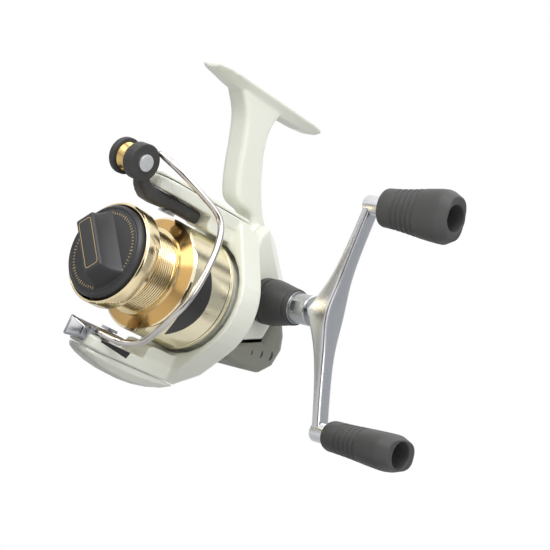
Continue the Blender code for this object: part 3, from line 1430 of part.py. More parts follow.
def make_spindle(name, side):
    """A spindle in an arm's boss, whose head inside the bore keeps the grip on."""
    centre = (0, AXLE_Y, AXLE_Z + side * ARM_REACH)
    start = boss_right() - 0.7 * ARM_BOSS_LENGTH + SEAT_GAP
    head = grip_left() + GRIP_LENGTH - GRIP_BORE_DEPTH + RUN_GAP
    profile = [
        (start, 0), (start, SPINDLE_RADIUS), (head, SPINDLE_RADIUS), (head, SPINDLE_HEAD_RADIUS),
        (head + SPINDLE_HEAD_HEIGHT, SPINDLE_HEAD_RADIUS), (head + SPINDLE_HEAD_HEIGHT, 0),
    ]
    return turned(name, profile, "X", centre, 12)


# Assembly


def build():
    clear_scene()
    looks = make_finishes()
    foot_middle = (FOOT_FRONT + FOOT_REAR) / 2
    reel = empty_at("reel", (0, -foot_middle, -FOOT_TOP))
    rotor = empty_at("rotor_axis", (0, 0, 0), reel)
    rotor.rotation_euler = (0, ROTOR_TILT, 0)
    bail = empty_at("bail_axis", (0, BAIL_PIVOT, 0), rotor)
    crank = empty_at("handle_axis", (0, AXLE_Y, AXLE_Z), reel)
    crank.rotation_euler = (HANDLE_LEAN, 0, 0)

    settle(make_body(), looks["pearl"], reel)
    settle(make_side_cover(), looks["pearl"], reel)
    settle(make_tail_cover(), looks["grey"], reel)
    for piece in (*make_pinion_rings(), *make_handle_bearings()):
        settle(piece, looks["steel"], reel)
    settle(make_left_cap(), looks["silver"], reel)
    settle(make_collar(), looks["black"], reel)
    settle(make_oscillation_pin(), looks["steel"], reel)
    settle(make_anti_reverse_lever(), looks["cream"], reel, (0, 0, -LEVER_AXIS_DROP))

    settle(make_main_shaft(), looks["steel"], reel)
    settle(make_spool_rest(), looks["black"], reel)
    settle(make_slider(), looks["brass"], reel)
    settle(make_bobbin(), looks["champagne"], reel)
    settle(make_lip_ring(), looks["gold"], reel)
    for index in range(WASHER_COUNT):
        settle(make_washer(index), looks["felt" if index % 2 else "steel"], reel)
    settle(make_retainer(), looks["steel"], reel)
    settle(make_drag_knob(), looks["charcoal"], reel)
    settle(make_drag_nut(), looks["brass"], reel)
    settle(make_drag_spring(), looks["steel"], reel)

    settle(make_rotor_frame(), looks["pearl"], rotor)
    settle(make_arm_cover("arm_cover_upper"), looks["pearl"], rotor)
    settle(make_arm_belly("arm_cover_lower"), looks["pearl"], rotor)
    settle(make_rotor_nut(), looks["steel"], rotor)
    settle(make_pivot_screw("bail_screw_upper", 1), looks["silver"], rotor)
    settle(make_pivot_screw("bail_screw_lower", -1), looks["silver"], rotor)
    settle(make_pinion(), looks["brass"], reel)

    pivot = Matrix.Translation((0, -BAIL_PIVOT, 0))
    roller_axis = (0, ROLLER_Y - BAIL_PIVOT, ROLLER_HEIGHT)
    for make, look, origin in (
        (make_bail_lever, "black", (0, 0, 0)), (make_roller_cap, "black", roller_axis),
        (make_roller_pin, "silver", roller_axis), (make_roller_bush, "black", roller_axis),
        (make_line_roller, "brass", roller_axis), (make_bail_wire, "silver", (0, 0, 0)),
        (make_bail_holder, "silver", (0, 0, 0)),
    ):
        piece = make()
        piece.data.transform(pivot)
        settle(piece, looks[look], bail, origin)

    axle = Vector((0, AXLE_Y, AXLE_Z))
    settle(make_drive_gear(), looks["brass"], reel, axle)
    settle(make_oscillation_gear(), looks["brass"], reel, follower_centre())
    to_axle = Matrix.Translation(-axle)
    for make, look in ((make_sleeve, "black"), (make_shank, "steel"), (make_handle_arm, "silver")):
        piece = make()
        piece.data.transform(to_axle)
        settle(piece, looks[look], crank)
    for name, side in (("upper", 1), ("lower", -1)):
        grip = make_grip(f"grip_{name}", side, side < 0)
        spindle = make_spindle(f"grip_spindle_{name}", side)
        for piece, look in ((grip, "rubber"), (spindle, "steel")):
            piece.data.transform(to_axle)
            settle(piece, looks[look], crank, (0, 0, side * ARM_REACH))


build()
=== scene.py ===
# %% [markdown]
# A small spinning reel, dressed for a studio picture.
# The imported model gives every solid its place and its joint, so it is loaded first and never moved.
# All later pieces are measured from it, and each one rides on the body that it belongs to.

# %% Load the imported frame
import json
import math

import bmesh
import bpy
from mathutils import Matrix, Vector


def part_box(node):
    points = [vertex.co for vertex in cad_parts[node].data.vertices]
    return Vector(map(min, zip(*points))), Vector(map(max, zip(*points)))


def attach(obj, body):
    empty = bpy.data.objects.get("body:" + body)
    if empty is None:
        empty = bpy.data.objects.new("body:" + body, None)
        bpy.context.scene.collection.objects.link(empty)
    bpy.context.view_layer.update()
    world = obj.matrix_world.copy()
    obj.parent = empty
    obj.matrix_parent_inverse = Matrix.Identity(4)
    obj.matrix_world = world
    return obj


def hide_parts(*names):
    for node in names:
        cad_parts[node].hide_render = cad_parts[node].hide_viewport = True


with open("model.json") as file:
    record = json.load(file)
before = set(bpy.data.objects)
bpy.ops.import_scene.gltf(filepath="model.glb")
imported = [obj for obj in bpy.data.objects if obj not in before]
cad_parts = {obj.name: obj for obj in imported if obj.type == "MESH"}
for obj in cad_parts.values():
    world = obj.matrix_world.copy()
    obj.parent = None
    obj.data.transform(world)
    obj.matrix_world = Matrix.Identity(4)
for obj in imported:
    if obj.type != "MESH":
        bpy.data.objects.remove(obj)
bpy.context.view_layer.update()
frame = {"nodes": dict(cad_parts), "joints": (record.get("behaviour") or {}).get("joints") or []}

# %% [markdown]
# Three sets of axes carry the whole reel: the spool's axis, the rotor turned a little about it, and the
# crank leaning about the handle's axle. The joints give all three, so no angle is typed twice.
# In these axes a piece can be drawn in millimetres, the way a maker's drawing gives it.

# %% Axes of the spool, the rotor and the crank
MM = 0.001
joint = {row["name"]: row for row in frame["joints"]}
spool_axis = Vector(joint["rotor_spin"]["pos_m"])
lip_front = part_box("spool_lip_ring")[0].y
bail_pin = Vector(joint["bail_swing"]["axis"])
axle = Vector(joint["handle_turn"]["pos_m"])
to_grip = Vector(joint["upper_grip_spin"]["pos_m"]) - axle

REEL = Matrix.Translation((0, lip_front, spool_axis.z)) @ Matrix.Scale(MM, 4)
ROTOR = REEL @ Matrix.Rotation(math.atan2(bail_pin.x, bail_pin.z) - math.pi * (bail_pin.z < 0), 4, "Y")
AXLE = Matrix.Translation(axle) @ Matrix.Scale(MM, 4)
CRANK = AXLE @ Matrix.Rotation(math.atan2(-to_grip.y, to_grip.z), 4, "X")
ARM_REACH = to_grip.length / MM
print("grip axes", round(ARM_REACH, 2), "mm from the axle")

# %% [markdown]
# A finish is a Principled shader plus a few effects that change over the surface.
# Effects shared by several finishes are node groups: a moulded grain for plastics, rings for turned metal
# and long streaks for brushed metal. Each group reads Object coordinates, so nothing slides when a part moves.

# %% Node group helper
FLOAT, COLOUR, VECTOR = "NodeSocketFloat", "NodeSocketColor", "NodeSocketVector"
# A Mix node has a socket of each name for every kind of value, so the colour ones are told by number.
MIX_SHARE, MIX_FIRST, MIX_SECOND, MIX_RESULT = 0, 6, 7, 2


def new_group(name, inputs, outputs):
    group = bpy.data.node_groups.new(name, "ShaderNodeTree")
    for title, kind, value in inputs:
        socket = group.interface.new_socket(title, in_out="INPUT", socket_type=kind)
        socket.default_value = value
    for title, kind in outputs:
        group.interface.new_socket(title, in_out="OUTPUT", socket_type=kind)
    nodes = group.nodes
    return group, nodes, group.links, nodes.new("NodeGroupInput"), nodes.new("NodeGroupOutput")


def noise_node(nodes, links, vector, scale, detail=2.0):
    noise = nodes.new("ShaderNodeTexNoise")
    noise.inputs["Detail"].default_value = detail
    links.new(vector, noise.inputs["Vector"])
    links.new(scale, noise.inputs["Scale"])
    return noise.outputs["Fac"]


def blend_colour(nodes, links, share, first, second):
    mix = nodes.new("ShaderNodeMix")
    mix.data_type = "RGBA"
    links.new(share, mix.inputs[MIX_SHARE])
    links.new(first, mix.inputs[MIX_FIRST])
    links.new(second, mix.inputs[MIX_SECOND])
    return mix.outputs[MIX_RESULT]


def blend_value(nodes, links, share, first, second):
    mix = nodes.new("ShaderNodeMapRange")
    links.new(share, mix.inputs["Value"])
    links.new(first, mix.inputs["To Min"])
    links.new(second, mix.inputs["To Max"])
    return mix.outputs["Result"]


# %% [markdown]
# Every effect takes two colours and two levels of gloss, and puts out a colour, a gloss and a height between
# them. With the same sockets on all of them, one finish can be swapped for another without rewiring.

# %% Sockets that the effects share
SHADE_INPUTS = [
    ("Low", COLOUR, (0.5, 0.5, 0.5, 1)), ("High", COLOUR, (0.6, 0.6, 0.6, 1)),
    ("Rough low", FLOAT, 0.3), ("Rough high", FLOAT, 0.4),
]
SHADE_OUTPUTS = [("Color", COLOUR), ("Roughness", FLOAT), ("Height", FLOAT)]


def shade_outputs(nodes, links, start, end, share, rough_share, height):
    colour = blend_colour(nodes, links, share, start.outputs["Low"], start.outputs["High"])
    links.new(colour, end.inputs["Color"])
    rough = blend_value(nodes, links, rough_share, start.outputs["Rough low"], start.outputs["Rough high"])
    links.new(rough, end.inputs["Roughness"])
    links.new(height, end.inputs["Height"])


# %% [markdown]
# Moulded grain: a fine noise gives the tiny bumps of a spark-eroded mould, and a slow noise shifts
# colour and gloss a little, as handling does. A picture could give both, but noise has no seams and needs no
# unwrapping. Low and High set how far each may go.

# %% Grain
def make_grain_group():
    inputs = SHADE_INPUTS + [("Fine", FLOAT, 4000.0), ("Slow", FLOAT, 60.0)]
    group, nodes, links, start, end = new_group("moulded_grain", inputs, SHADE_OUTPUTS)
    place = nodes.new("ShaderNodeTexCoord").outputs["Object"]
    fine = noise_node(nodes, links, place, start.outputs["Fine"])
    slow = noise_node(nodes, links, place, start.outputs["Slow"], 4.0)
    shade_outputs(nodes, links, start, end, slow, fine, fine)
    return group


GROUPS = {"grain": make_grain_group()}
print("grain nodes", len(GROUPS["grain"].nodes))

# %% [markdown]
# Turned metal carries fine rings about its axis. A noise of one dimension reads the distance along the axis
# plus the distance from it, so the rings follow a cylinder, a cone and a flat face alike.

# %% Rings
def make_ring_group():
    inputs = SHADE_INPUTS + [
        ("Centre", VECTOR, (0, 0, 0)), ("Axis", VECTOR, (0, 1, 0)), ("Rings", FLOAT, 3000.0), ("Slow", FLOAT, 60.0)
    ]
    group, nodes, links, start, end = new_group("turned_rings", inputs, SHADE_OUTPUTS)

    def vector_node(operation, first, second=None):
        node = nodes.new("ShaderNodeVectorMath")
        node.operation = operation
        links.new(first, node.inputs[0])
        if second is not None:
            links.new(second, node.inputs[1])
        return node

    place = nodes.new("ShaderNodeTexCoord").outputs["Object"]
    offset = vector_node("SUBTRACT", place, start.outputs["Centre"]).outputs[0]
    along = vector_node("DOT_PRODUCT", offset, start.outputs["Axis"]).outputs["Value"]
    radius = vector_node("CROSS_PRODUCT", offset, start.outputs["Axis"]).outputs[0]
    radius = vector_node("LENGTH", radius).outputs["Value"]
    both = nodes.new("ShaderNodeMath")
    links.new(along, both.inputs[0])
    links.new(radius, both.inputs[1])
    rings = nodes.new("ShaderNodeTexNoise")
    rings.noise_dimensions = "1D"
    rings.inputs["Detail"].default_value = 3.0
    links.new(both.outputs[0], rings.inputs["W"])
    links.new(start.outputs["Rings"], rings.inputs["Scale"])
    slow = noise_node(nodes, links, place, start.outputs["Slow"], 3.0)
    shade_outputs(nodes, links, start, end, slow, rings.outputs["Fac"], rings.outputs["Fac"])
    return group


GROUPS["rings"] = make_ring_group()
print("ring nodes", len(GROUPS["rings"].nodes))

# %% [markdown]
# A polished forging keeps long faint streaks along its length. The same noise makes them, once its
# coordinates are squeezed in that one direction.

# %% Streaks
def make_streak_group():
    inputs = SHADE_INPUTS + [("Stretch", VECTOR, (1, 1, 0.02)), ("Fine", FLOAT, 3000.0), ("Slow", FLOAT, 40.0)]
    group, nodes, links, start, end = new_group("brushed_streaks", inputs, SHADE_OUTPUTS)
    place = nodes.new("ShaderNodeTexCoord").outputs["Object"]
    stretched = nodes.new("ShaderNodeVectorMath")
    stretched.operation = "MULTIPLY"
    links.new(place, stretched.inputs[0])
    links.new(start.outputs["Stretch"], stretched.inputs[1])
    fine = noise_node(nodes, links, stretched.outputs[0], start.outputs["Fine"], 3.0)
    slow = noise_node(nodes, links, place, start.outputs["Slow"], 3.0)
    shade_outputs(nodes, links, start, end, slow, fine, fine)
    return group


GROUPS["streaks"] = make_streak_group()
print("effect groups", sorted(GROUPS))

# %% [markdown]
# One function turns a row of values into a finish. Colours that stay the same all over would sit straight
# on the shader; here the group shifts them slightly, so paint, rubber and metal never look flat.
# Bump stays far below a tenth of a millimetre: the shapes themselves come from the meshes.

# %% Finish helper
def finish(name, effect, colour, spread=0.08, rough=(0.3, 0.4), bump=0.0, metallic=0.0, values=None, **sockets):
    """A material whose colour and gloss vary by one effect. Values go to the effect, sockets to the shader."""
    material = bpy.data.materials.new(name)
    material.use_nodes = True
    nodes, links = material.node_tree.nodes, material.node_tree.links
    shader = nodes["Principled BSDF"]
    shader.inputs["Metallic"].default_value = metallic
    for title, value in sockets.items():
        shader.inputs[title.replace("_", " ")].default_value = value
    group = nodes.new("ShaderNodeGroup")
    group.node_tree = GROUPS[effect]
    group.inputs["Low"].default_value = (*[c * (1 - spread) for c in colour], 1)
    group.inputs["High"].default_value = (*[min(1, c * (1 + spread)) for c in colour], 1)
    group.inputs["Rough low"].default_value, group.inputs["Rough high"].default_value = rough
    for title, value in (values or {}).items():
        group.inputs[title].default_value = value
    links.new(group.outputs["Color"], shader.inputs["Base Color"])
    links.new(group.outputs["Roughness"], shader.inputs["Roughness"])
    if bump:
        node = nodes.new("ShaderNodeBump")
        node.inputs["Distance"].default_value = bump * MM
        links.new(group.outputs["Height"], node.inputs["Height"])
        links.new(node.outputs["Normal"], shader.inputs["Normal"])
    return material


# %% [markdown]
# The finishes follow the real pieces: pearl paint under clear lacquer on the castings, gold and champagne
# anodising on the turned spool, satin plastics, soft rubber and bright metal.
# The turned ones get rings about their own axis, the polished arm long streaks along its length.
# A row gives the effect, the colour, how far it shifts, the roughness from and to, the bump in millimetres
# and how metallic it is.

# %% Finishes
spool_rings = {"Centre": spool_axis, "Axis": (0, 1, 0)}
axle_rings = {"Centre": axle, "Axis": (1, 0, 0)}
roller_rings = {"Centre": joint["roller_spin"]["pos_m"], "Axis": joint["roller_spin"]["axis"]}
LACQUER = {"Coat_Weight": 0.5, "Coat_Roughness": 0.06}
looks = {
    "pearl": finish("pearl_paint", "grain", (0.85, 0.86, 0.755), 0.025, (0.26, 0.40), 0.004,
                    values={"Fine": 2600.0, "Slow": 45.0}, **LACQUER),
    "gold": finish("gold_anodised", "rings", (0.92, 0.77, 0.48), 0.05, (0.10, 0.20), 0.003, 1.0, spool_rings),
    "copper": finish("copper_anodised", "rings", (0.66, 0.41, 0.15), 0.10, (0.10, 0.22), 0.004, 1.0, spool_rings),
    "bright_gold": finish("bright_gold_edge", "rings", (0.95, 0.83, 0.58), 0.03, (0.06, 0.12), 0.0, 1.0,
                          spool_rings),
    "champagne": finish("champagne_anodised", "rings", (0.88, 0.80, 0.57), 0.05, (0.14, 0.26), 0.004, 1.0,
                        spool_rings),
    # Dark bronze: painted shade in the bottoms of the arbor's grooves.
    "groove": finish("groove_painted_shade", "rings", (0.34, 0.25, 0.12), 0.06, (0.3, 0.4), 0.0, 1.0, spool_rings),
    "print": finish("black_print", "grain", (0.022, 0.021, 0.02), 0.2, (0.30, 0.42), 0.0),
    "gold_print": finish("gold_print", "grain", (0.62, 0.45, 0.22), 0.1, (0.30, 0.45), 0.0, 0.6),
    "charcoal": finish("charcoal_plastic", "grain", (0.040, 0.040, 0.042), 0.15, (0.36, 0.52), 0.012,
                       values={"Fine": 5200.0, "Slow": 80.0}),
    "black": finish("black_plastic", "grain", (0.040, 0.039, 0.038), 0.15, (0.42, 0.58), 0.014,
                    values={"Fine": 4200.0, "Slow": 90.0}),
    "rubber": finish("grip_rubber", "grain", (0.062, 0.062, 0.060), 0.14, (0.50, 0.66), 0.02,
                     values={"Fine": 3600.0, "Slow": 70.0}),
    "silver": finish("polished_arm", "streaks", (0.74, 0.74, 0.76), 0.04, (0.16, 0.30), 0.003, 1.0,
                     values={"Fine": 2600.0, "Slow": 30.0}),
    "chrome": finish("chrome", "grain", (0.78, 0.78, 0.80), 0.03, (0.06, 0.14), 0.0, 1.0),
    "wire": finish("polished_wire", "grain", (0.58, 0.55, 0.52), 0.05, (0.12, 0.22), 0.002, 1.0),
    # Dark steel: painted shade on the holder's faces that are not turned to the front.
    "holder_steel_painted_shade": finish("holder_steel_painted_shade", "grain", (0.34, 0.35, 0.37), 0.06, (0.16, 0.28), 0.003, 1.0),
    "steel": finish("satin_steel", "rings", (0.46, 0.47, 0.48), 0.08, (0.22, 0.36), 0.004, 1.0, axle_rings),
    "screw": finish("cast_screw", "grain", (0.66, 0.67, 0.68), 0.18, (0.35, 0.55), 0.03, 0.7,
                    values={"Fine": 2200.0, "Slow": 1500.0}),
    "brass": finish("turned_brass", "rings", (0.72, 0.50, 0.20), 0.07, (0.16, 0.30), 0.004, 1.0, roller_rings),
    "grey": finish("warm_grey_plastic", "grain", (0.27, 0.27, 0.225), 0.06, (0.38, 0.52), 0.012,
                   values={"Fine": 3800.0, "Slow": 60.0}),
    "cream": finish("cream_plastic", "grain", (0.74, 0.72, 0.60), 0.04, (0.34, 0.46), 0.006),
    "felt": finish("drag_felt", "grain", (0.25, 0.22, 0.18), 0.25, (0.85, 0.98), 0.08,
                   values={"Fine": 5200.0, "Slow": 500.0}),
    # Near black: painted shade on the arm's pocket, and the paint of the dark cards.
    "shadow": finish("painted_shade_and_card_black", "grain", (0.018, 0.018, 0.018), 0.2, (0.55, 0.7), 0.0),
}
print("finishes", len(looks))

# %% [markdown]
# Every mesh is cleaned the same way: doubles are merged, edges without length go and normals turn outwards.
# A bevel then breaks the sharp edges, because a real edge always catches a thin line of light.

# %% Mesh helpers
MERGE_GAP, SHORT_EDGE = 1e-5, 1e-6


def tidy_mesh(bm):
    bmesh.ops.remove_doubles(bm, verts=bm.verts, dist=MERGE_GAP)
    bmesh.ops.dissolve_degenerate(bm, edges=bm.edges, dist=SHORT_EDGE)
    bmesh.ops.recalc_face_normals(bm, faces=bm.faces)


def soften(bm, width, segments=3, angle=30, keep=None):
    """Bevels the edges that bend by more than the angle, or only those whose ends pass the keep test."""
    sharp = [e for e in bm.edges if e.is_manifold and e.calc_face_angle() > math.radians(angle)]
    if keep:
        sharp = [e for e in sharp if all(keep(v.co) for v in e.verts)]
    bmesh.ops.bevel(
        bm, geom=sharp, offset=width, offset_type="OFFSET", affect="EDGES",
        segments=segments, profile=0.5, clamp_overlap=True, material=-1,
    )


# %% [markdown]
# Every piece ends the same way too: its place is written into the mesh, and it is shaded smooth with the sharp
# edges kept. Riding and replacing are said in the same call, so that no piece is left without a body.

# %% Piece helpers
SHARP_ANGLE = 34


def mesh_of(bm, name):
    """The finished mesh of a bmesh, which is freed."""
    mesh = bpy.data.meshes.new(name)
    bm.to_mesh(mesh)
    bm.free()
    return mesh


def linked(name, data):
    """A new object in the scene, at the origin."""
    item = bpy.data.objects.new(name, data)
    bpy.context.scene.collection.objects.link(item)
    return item


def add_piece(name, bm, place, finishes, body, nodes=()):
    bm.transform(place)
    return dress(name, mesh_of(bm, name), finishes, body, nodes)


def dress(name, mesh, finishes, body, nodes=()):
    for look in finishes:
        mesh.materials.append(looks[look])
    mesh.shade_smooth()
    mesh.set_sharp_from_angle(angle=math.radians(SHARP_ANGLE))
    piece = linked(name, mesh)
    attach(piece, body)
    if nodes:
        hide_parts(*nodes)
    print(name, len(mesh.polygons), "faces on", body)
    return piece


# %% [markdown]
# Turned pieces are a profile spun once about its axis, as a lathe would cut it. The profile is a list of
# (along, radius) pairs in millimetres, closed into a loop. Cylinders scaled ring by ring would do as well, but
# a profile can be read off a drawing and changed at one point.

# %% Turning helper
TURN_STEPS = 144


def spun(profile, axis, edge=0.0):
    bm = bmesh.new()
    corners = []
    for along, radius in profile:
        corners.append(bm.verts.new((along, 0, radius) if axis == "X" else (radius, along, 0)))
    edges = [bm.edges.new((corners[i - 1], corners[i])) for i in range(len(corners))]
    direction = (1, 0, 0) if axis == "X" else (0, 1, 0)
    bmesh.ops.spin(
        bm, geom=corners + edges, cent=(0, 0, 0), axis=direction,
        angle=math.tau, steps=TURN_STEPS, use_merge=True,
    )
    tidy_mesh(bm)
    if edge:
        soften(bm, edge)
    return bm


# %% [markdown]
# The lip is the polished gold ring at the front of the spool. Line slips over it on a cast, so it is
# broad, rounded and free of any step. A torus would be too round in section, so it is spun from a profile.

# %% Spool lip
lip = [(4.4, 13.7), (4.4, 17.0), (0.7, 17.0), (0.0, 17.4), (0.0, 17.8), (0.7, 18.4),
       (6.0, 18.45), (6.7, 18.0), (6.9, 17.2), (5.5, 15.2), (5.4, 13.7)]
add_piece("spool_lip", spun(lip, "Y", 0.22), REEL, ["gold"], "spool", ["spool_lip_ring"])

# %% [markdown]
# The spool is one turned piece with several anodised colours: a grooved gold arbor, a copper flange with a
# bright edge, and a long champagne skirt with a black line near its rear. Grooves from a bump map would vanish
# at the outline, so they are in the profile: a raised cosine, with narrow dips between broad ridges.

# %% Spool profile
GROOVES, GROOVE_DEPTH, GROOVE_STEPS = 11, 0.45, 8
ARBOR_START, ARBOR_END, ARBOR_RADIUS = 7.4, 18.2, 14.9
GROOVE_POWER = 1.5
arbor = [(5.7, 13.6), (5.7, ARBOR_RADIUS)]
for i in range(GROOVES * GROOVE_STEPS + 1):
    share = i / (GROOVES * GROOVE_STEPS)
    dip = GROOVE_DEPTH * (0.5 - 0.5 * math.cos(math.tau * GROOVES * share)) ** GROOVE_POWER
    arbor.append((ARBOR_START + (ARBOR_END - ARBOR_START) * share, ARBOR_RADIUS - dip))
bobbin = arbor + [
    (18.4, 14.9), (18.55, 16.2), (19.65, 16.3), (19.9, 16.8), (21.7, 20.3), (21.9, 20.7), (22.5, 21.2),
    (40.9, 21.2), (41.0, 21.02), (41.4, 21.02), (41.5, 21.2), (42.9, 21.2), (43.2, 20.95), (43.2, 20.0),
    (23.1, 20.0), (21.6, 15.8), (21.6, 1.65), (17.6, 1.65), (17.6, 13.6),
]
print("spool profile", len(bobbin), "points")

# %% [markdown]
# The profile is spun once, then each face takes its colour from where it lies along the axis and how far from
# it: painted shade in the groove bottoms, gold arbor, bright edge, copper flange, the thin black line, and
# champagne for the rest.
# Rings made one by one would need joints between them that the real spool doesn't have.

# %% Spool bobbin
GOLD, COPPER, BRIGHT, CHAMPAGNE, LINE, GROOVE_SHADE = range(6)
BORE_WALL, GROOVE_FLOOR = 13.7, 14.0
FLANGE_FRONT, FLANGE_FOOT, FLANGE_BACK = 19.7, 16.4, 21.8
BRIGHT_FROM, BRIGHT_TO, BRIGHT_RADIUS = 21.65, 22.9, 20.2
LINE_FROM, LINE_TO, LINE_RADIUS = 40.95, 41.45, 20.9


def bobbin_look(face):
    middle = face.calc_center_median()
    along, radius = middle.y, math.hypot(middle.x, middle.z)
    # Groove bottoms take a dark painted shade.
    if ARBOR_START < along < ARBOR_END and GROOVE_FLOOR < radius < ARBOR_RADIUS - 0.5 * GROOVE_DEPTH:
        return GROOVE_SHADE
    if along < FLANGE_FRONT and radius > BORE_WALL:
        return GOLD
    if radius > BRIGHT_RADIUS and BRIGHT_FROM < along < BRIGHT_TO:
        return BRIGHT
    if along < FLANGE_BACK and radius > FLANGE_FOOT:
        return COPPER
    if LINE_FROM < along < LINE_TO and radius > LINE_RADIUS:
        return LINE
    return CHAMPAGNE


bm = spun(bobbin, "Y")
for face in bm.faces:
    face.material_index = bobbin_look(face)
spool_finishes = ["gold", "copper", "bright_gold", "champagne", "print", "groove"]
add_piece("spool", bm, REEL, spool_finishes, "spool", ["spool_bobbin"])

# %% [markdown]
# A plain black panel, shaped like a lens, wraps round the skirt. Colouring the spool's own faces would give it
# stepped edges, so it is a piece of its own: a flat grid, bent round the spool and drawn in to a point at both
# ends, with the thickness of a print.

# %% Skirt panel
PANEL_MIDDLE, PANEL_SPREAD = -18.5, 42.5
PANEL_AT, PANEL_HALF, PANEL_RADIUS, PANEL_THICK = 29.0, 4.5, 21.26, 0.05


def outwards(face):
    middle = face.calc_center_median()
    return face.normal.dot(Vector((middle.x, 0, middle.z)))


bm = bmesh.new()
bmesh.ops.create_grid(bm, x_segments=72, y_segments=10, size=1.0)
for vert in bm.verts:
    turn = math.radians(PANEL_MIDDLE + PANEL_SPREAD * vert.co.x)
    along = PANEL_AT + PANEL_HALF * vert.co.y * (1 - vert.co.x**2)
    vert.co = (PANEL_RADIUS * math.cos(turn), along, PANEL_RADIUS * math.sin(turn))
tidy_mesh(bm)
if sum(outwards(face) for face in bm.faces) < 0:
    bmesh.ops.reverse_faces(bm, faces=bm.faces)
bmesh.ops.solidify(bm, geom=bm.faces[:], thickness=PANEL_THICK)
add_piece("skirt_panel", bm, REEL, ["print"], "spool")

# %% [markdown]
# The drag knob is a charcoal disc sunk in the lip with a tall finger bar across it. The disc is turned, with a
# fine groove near its rim.

# %% Drag knob
knob = [(4.05, 5.35), (4.05, 16.65), (-1.2, 16.65), (-2.15, 15.9), (-2.15, 15.3), (-1.95, 15.15), (-1.95, 14.95),
        (-2.15, 14.8), (-2.15, 0), (-1.35, 0), (-1.35, 5.35)]
add_piece("drag_knob_disc", spun(knob, "Y", 0.15), REEL, ["charcoal"], "knob", ["drag_knob"])

# %% [markdown]
# The finger bar starts as a cube cut into slices. Each slice is wider and longer than the one above it, so the
# flanks sweep down into the disc, which a bevel alone couldn't give. Only the upper edges are rounded, as the
# foot runs into the disc.

# %% Finger bar of the knob
BAR_TILT = Matrix.Rotation(math.radians(-38), 4, "Y")
BAR_TOP, BAR_FOOT, BAR_HALF_WIDTH, BAR_HALF_LENGTH = -9.6, -1.6, 3.85, 10.9
FLARE_WIDE, FLARE_LONG, FLARE_WIDE_POWER, FLARE_LONG_POWER = 3.4, 2.2, 2.2, 1.4
BAR_EDGE, BAR_HEIGHT_CUTS, BAR_LENGTH_CUTS = 0.8, 7, 9
ALONG_Y, ALONG_Z, TOO_SHORT = 1, 2, 1e-4


def slice_edges(bm, axis, cuts):
    """Cuts the edges that run along an axis into equal lengths."""
    along = [e for e in bm.edges if abs((e.verts[0].co - e.verts[1].co)[axis]) > TOO_SHORT]
    bmesh.ops.subdivide_edges(bm, edges=along, cuts=cuts, use_grid_fill=True)


bm = bmesh.new()
bmesh.ops.create_cube(bm, size=2.0)
slice_edges(bm, ALONG_Y, BAR_HEIGHT_CUTS)
slice_edges(bm, ALONG_Z, BAR_LENGTH_CUTS)
for vert in bm.verts:
    share = (vert.co.y + 1) / 2
    wide = BAR_HALF_WIDTH + FLARE_WIDE * share**FLARE_WIDE_POWER
    length = BAR_HALF_LENGTH + FLARE_LONG * share**FLARE_LONG_POWER
    vert.co = (vert.co.x * wide, BAR_TOP + (BAR_FOOT - BAR_TOP) * share, vert.co.z * length)
tidy_mesh(bm)
soften(bm, BAR_EDGE, segments=4, angle=40, keep=lambda co: co.y < BAR_FOOT - 0.1)
add_piece("drag_knob_bar", bm, REEL @ BAR_TILT, ["charcoal"], "knob")

# %% [markdown]
# A thin gold frame is printed on the bar, with bare plastic inside it. It is a flat rectangle with bevelled
# corners, inset by the width of the line and extruded a hair. The inset keeps the line equally wide all round.

# %% Knob frame
PRINT_HEIGHT, PRINT_LIFT = 0.05, 0.01
FRAME_HALF_WIDTH, FRAME_HALF_LENGTH, FRAME_CORNER, FRAME_LINE = 2.8, 9.4, 1.1, 0.26


def thicken(bm, height):
    """Raises a flat print towards the front."""
    grown = bmesh.ops.extrude_face_region(bm, geom=bm.faces[:])["geom"]
    verts = [v for v in grown if isinstance(v, bmesh.types.BMVert)]
    bmesh.ops.translate(bm, verts=verts, vec=(0, -height, 0))
    tidy_mesh(bm)


bm = bmesh.new()
bmesh.ops.create_grid(bm, x_segments=1, y_segments=1, size=1.0)
bmesh.ops.rotate(bm, verts=bm.verts, cent=(0, 0, 0), matrix=Matrix.Rotation(math.radians(90), 3, "X"))
bmesh.ops.scale(bm, verts=bm.verts, vec=(FRAME_HALF_WIDTH, 1, FRAME_HALF_LENGTH))
bmesh.ops.translate(bm, verts=bm.verts, vec=(0, BAR_TOP - PRINT_LIFT, 0))
bmesh.ops.bevel(bm, geom=bm.verts[:], offset=FRAME_CORNER, offset_type="OFFSET", affect="VERTICES",
                segments=5, profile=0.5, material=-1)
bmesh.ops.inset_region(bm, faces=bm.faces[:], thickness=FRAME_LINE, use_boundary=True)
middle = max(bm.faces, key=lambda f: f.calc_area())
bmesh.ops.delete(bm, geom=[middle], context="FACES")
thicken(bm, PRINT_HEIGHT)
add_piece("knob_frame_print", bm, REEL @ BAR_TILT, ["gold_print"], "knob")

# %% [markdown]
# Short gold ticks ring the disc, and every sixth one is longer. Each is a small cube, stretched and turned
# about the axis. An array would repeat them too, but a loop can leave out those at the ends of the bar.

# %% Knob ticks
TICKS, LONG_EVERY, TICK_LONG, TICK_SHORT, TICK_WIDE = 72, 6, 1.3, 0.8, 0.3
TICK_RADIUS, TICK_FACE, CLEAR_OF_BAR = 13.4, -2.17, 0.42
bm = bmesh.new()
for i in range(TICKS):
    angle = math.tau * i / TICKS
    if abs(math.cos(angle)) < CLEAR_OF_BAR:
        continue
    made = bmesh.ops.create_cube(bm, size=1.0)["verts"]
    length = TICK_LONG if i % LONG_EVERY == 0 else TICK_SHORT
    turn = Matrix.Rotation(angle, 4, "Y")
    size = Matrix.Diagonal((length, PRINT_HEIGHT, TICK_WIDE, 1))
    bmesh.ops.transform(bm, matrix=turn @ Matrix.Translation((TICK_RADIUS, TICK_FACE, 0)) @ size, verts=made)
add_piece("knob_tick_prints", bm, REEL @ BAR_TILT, ["gold_print"], "knob")

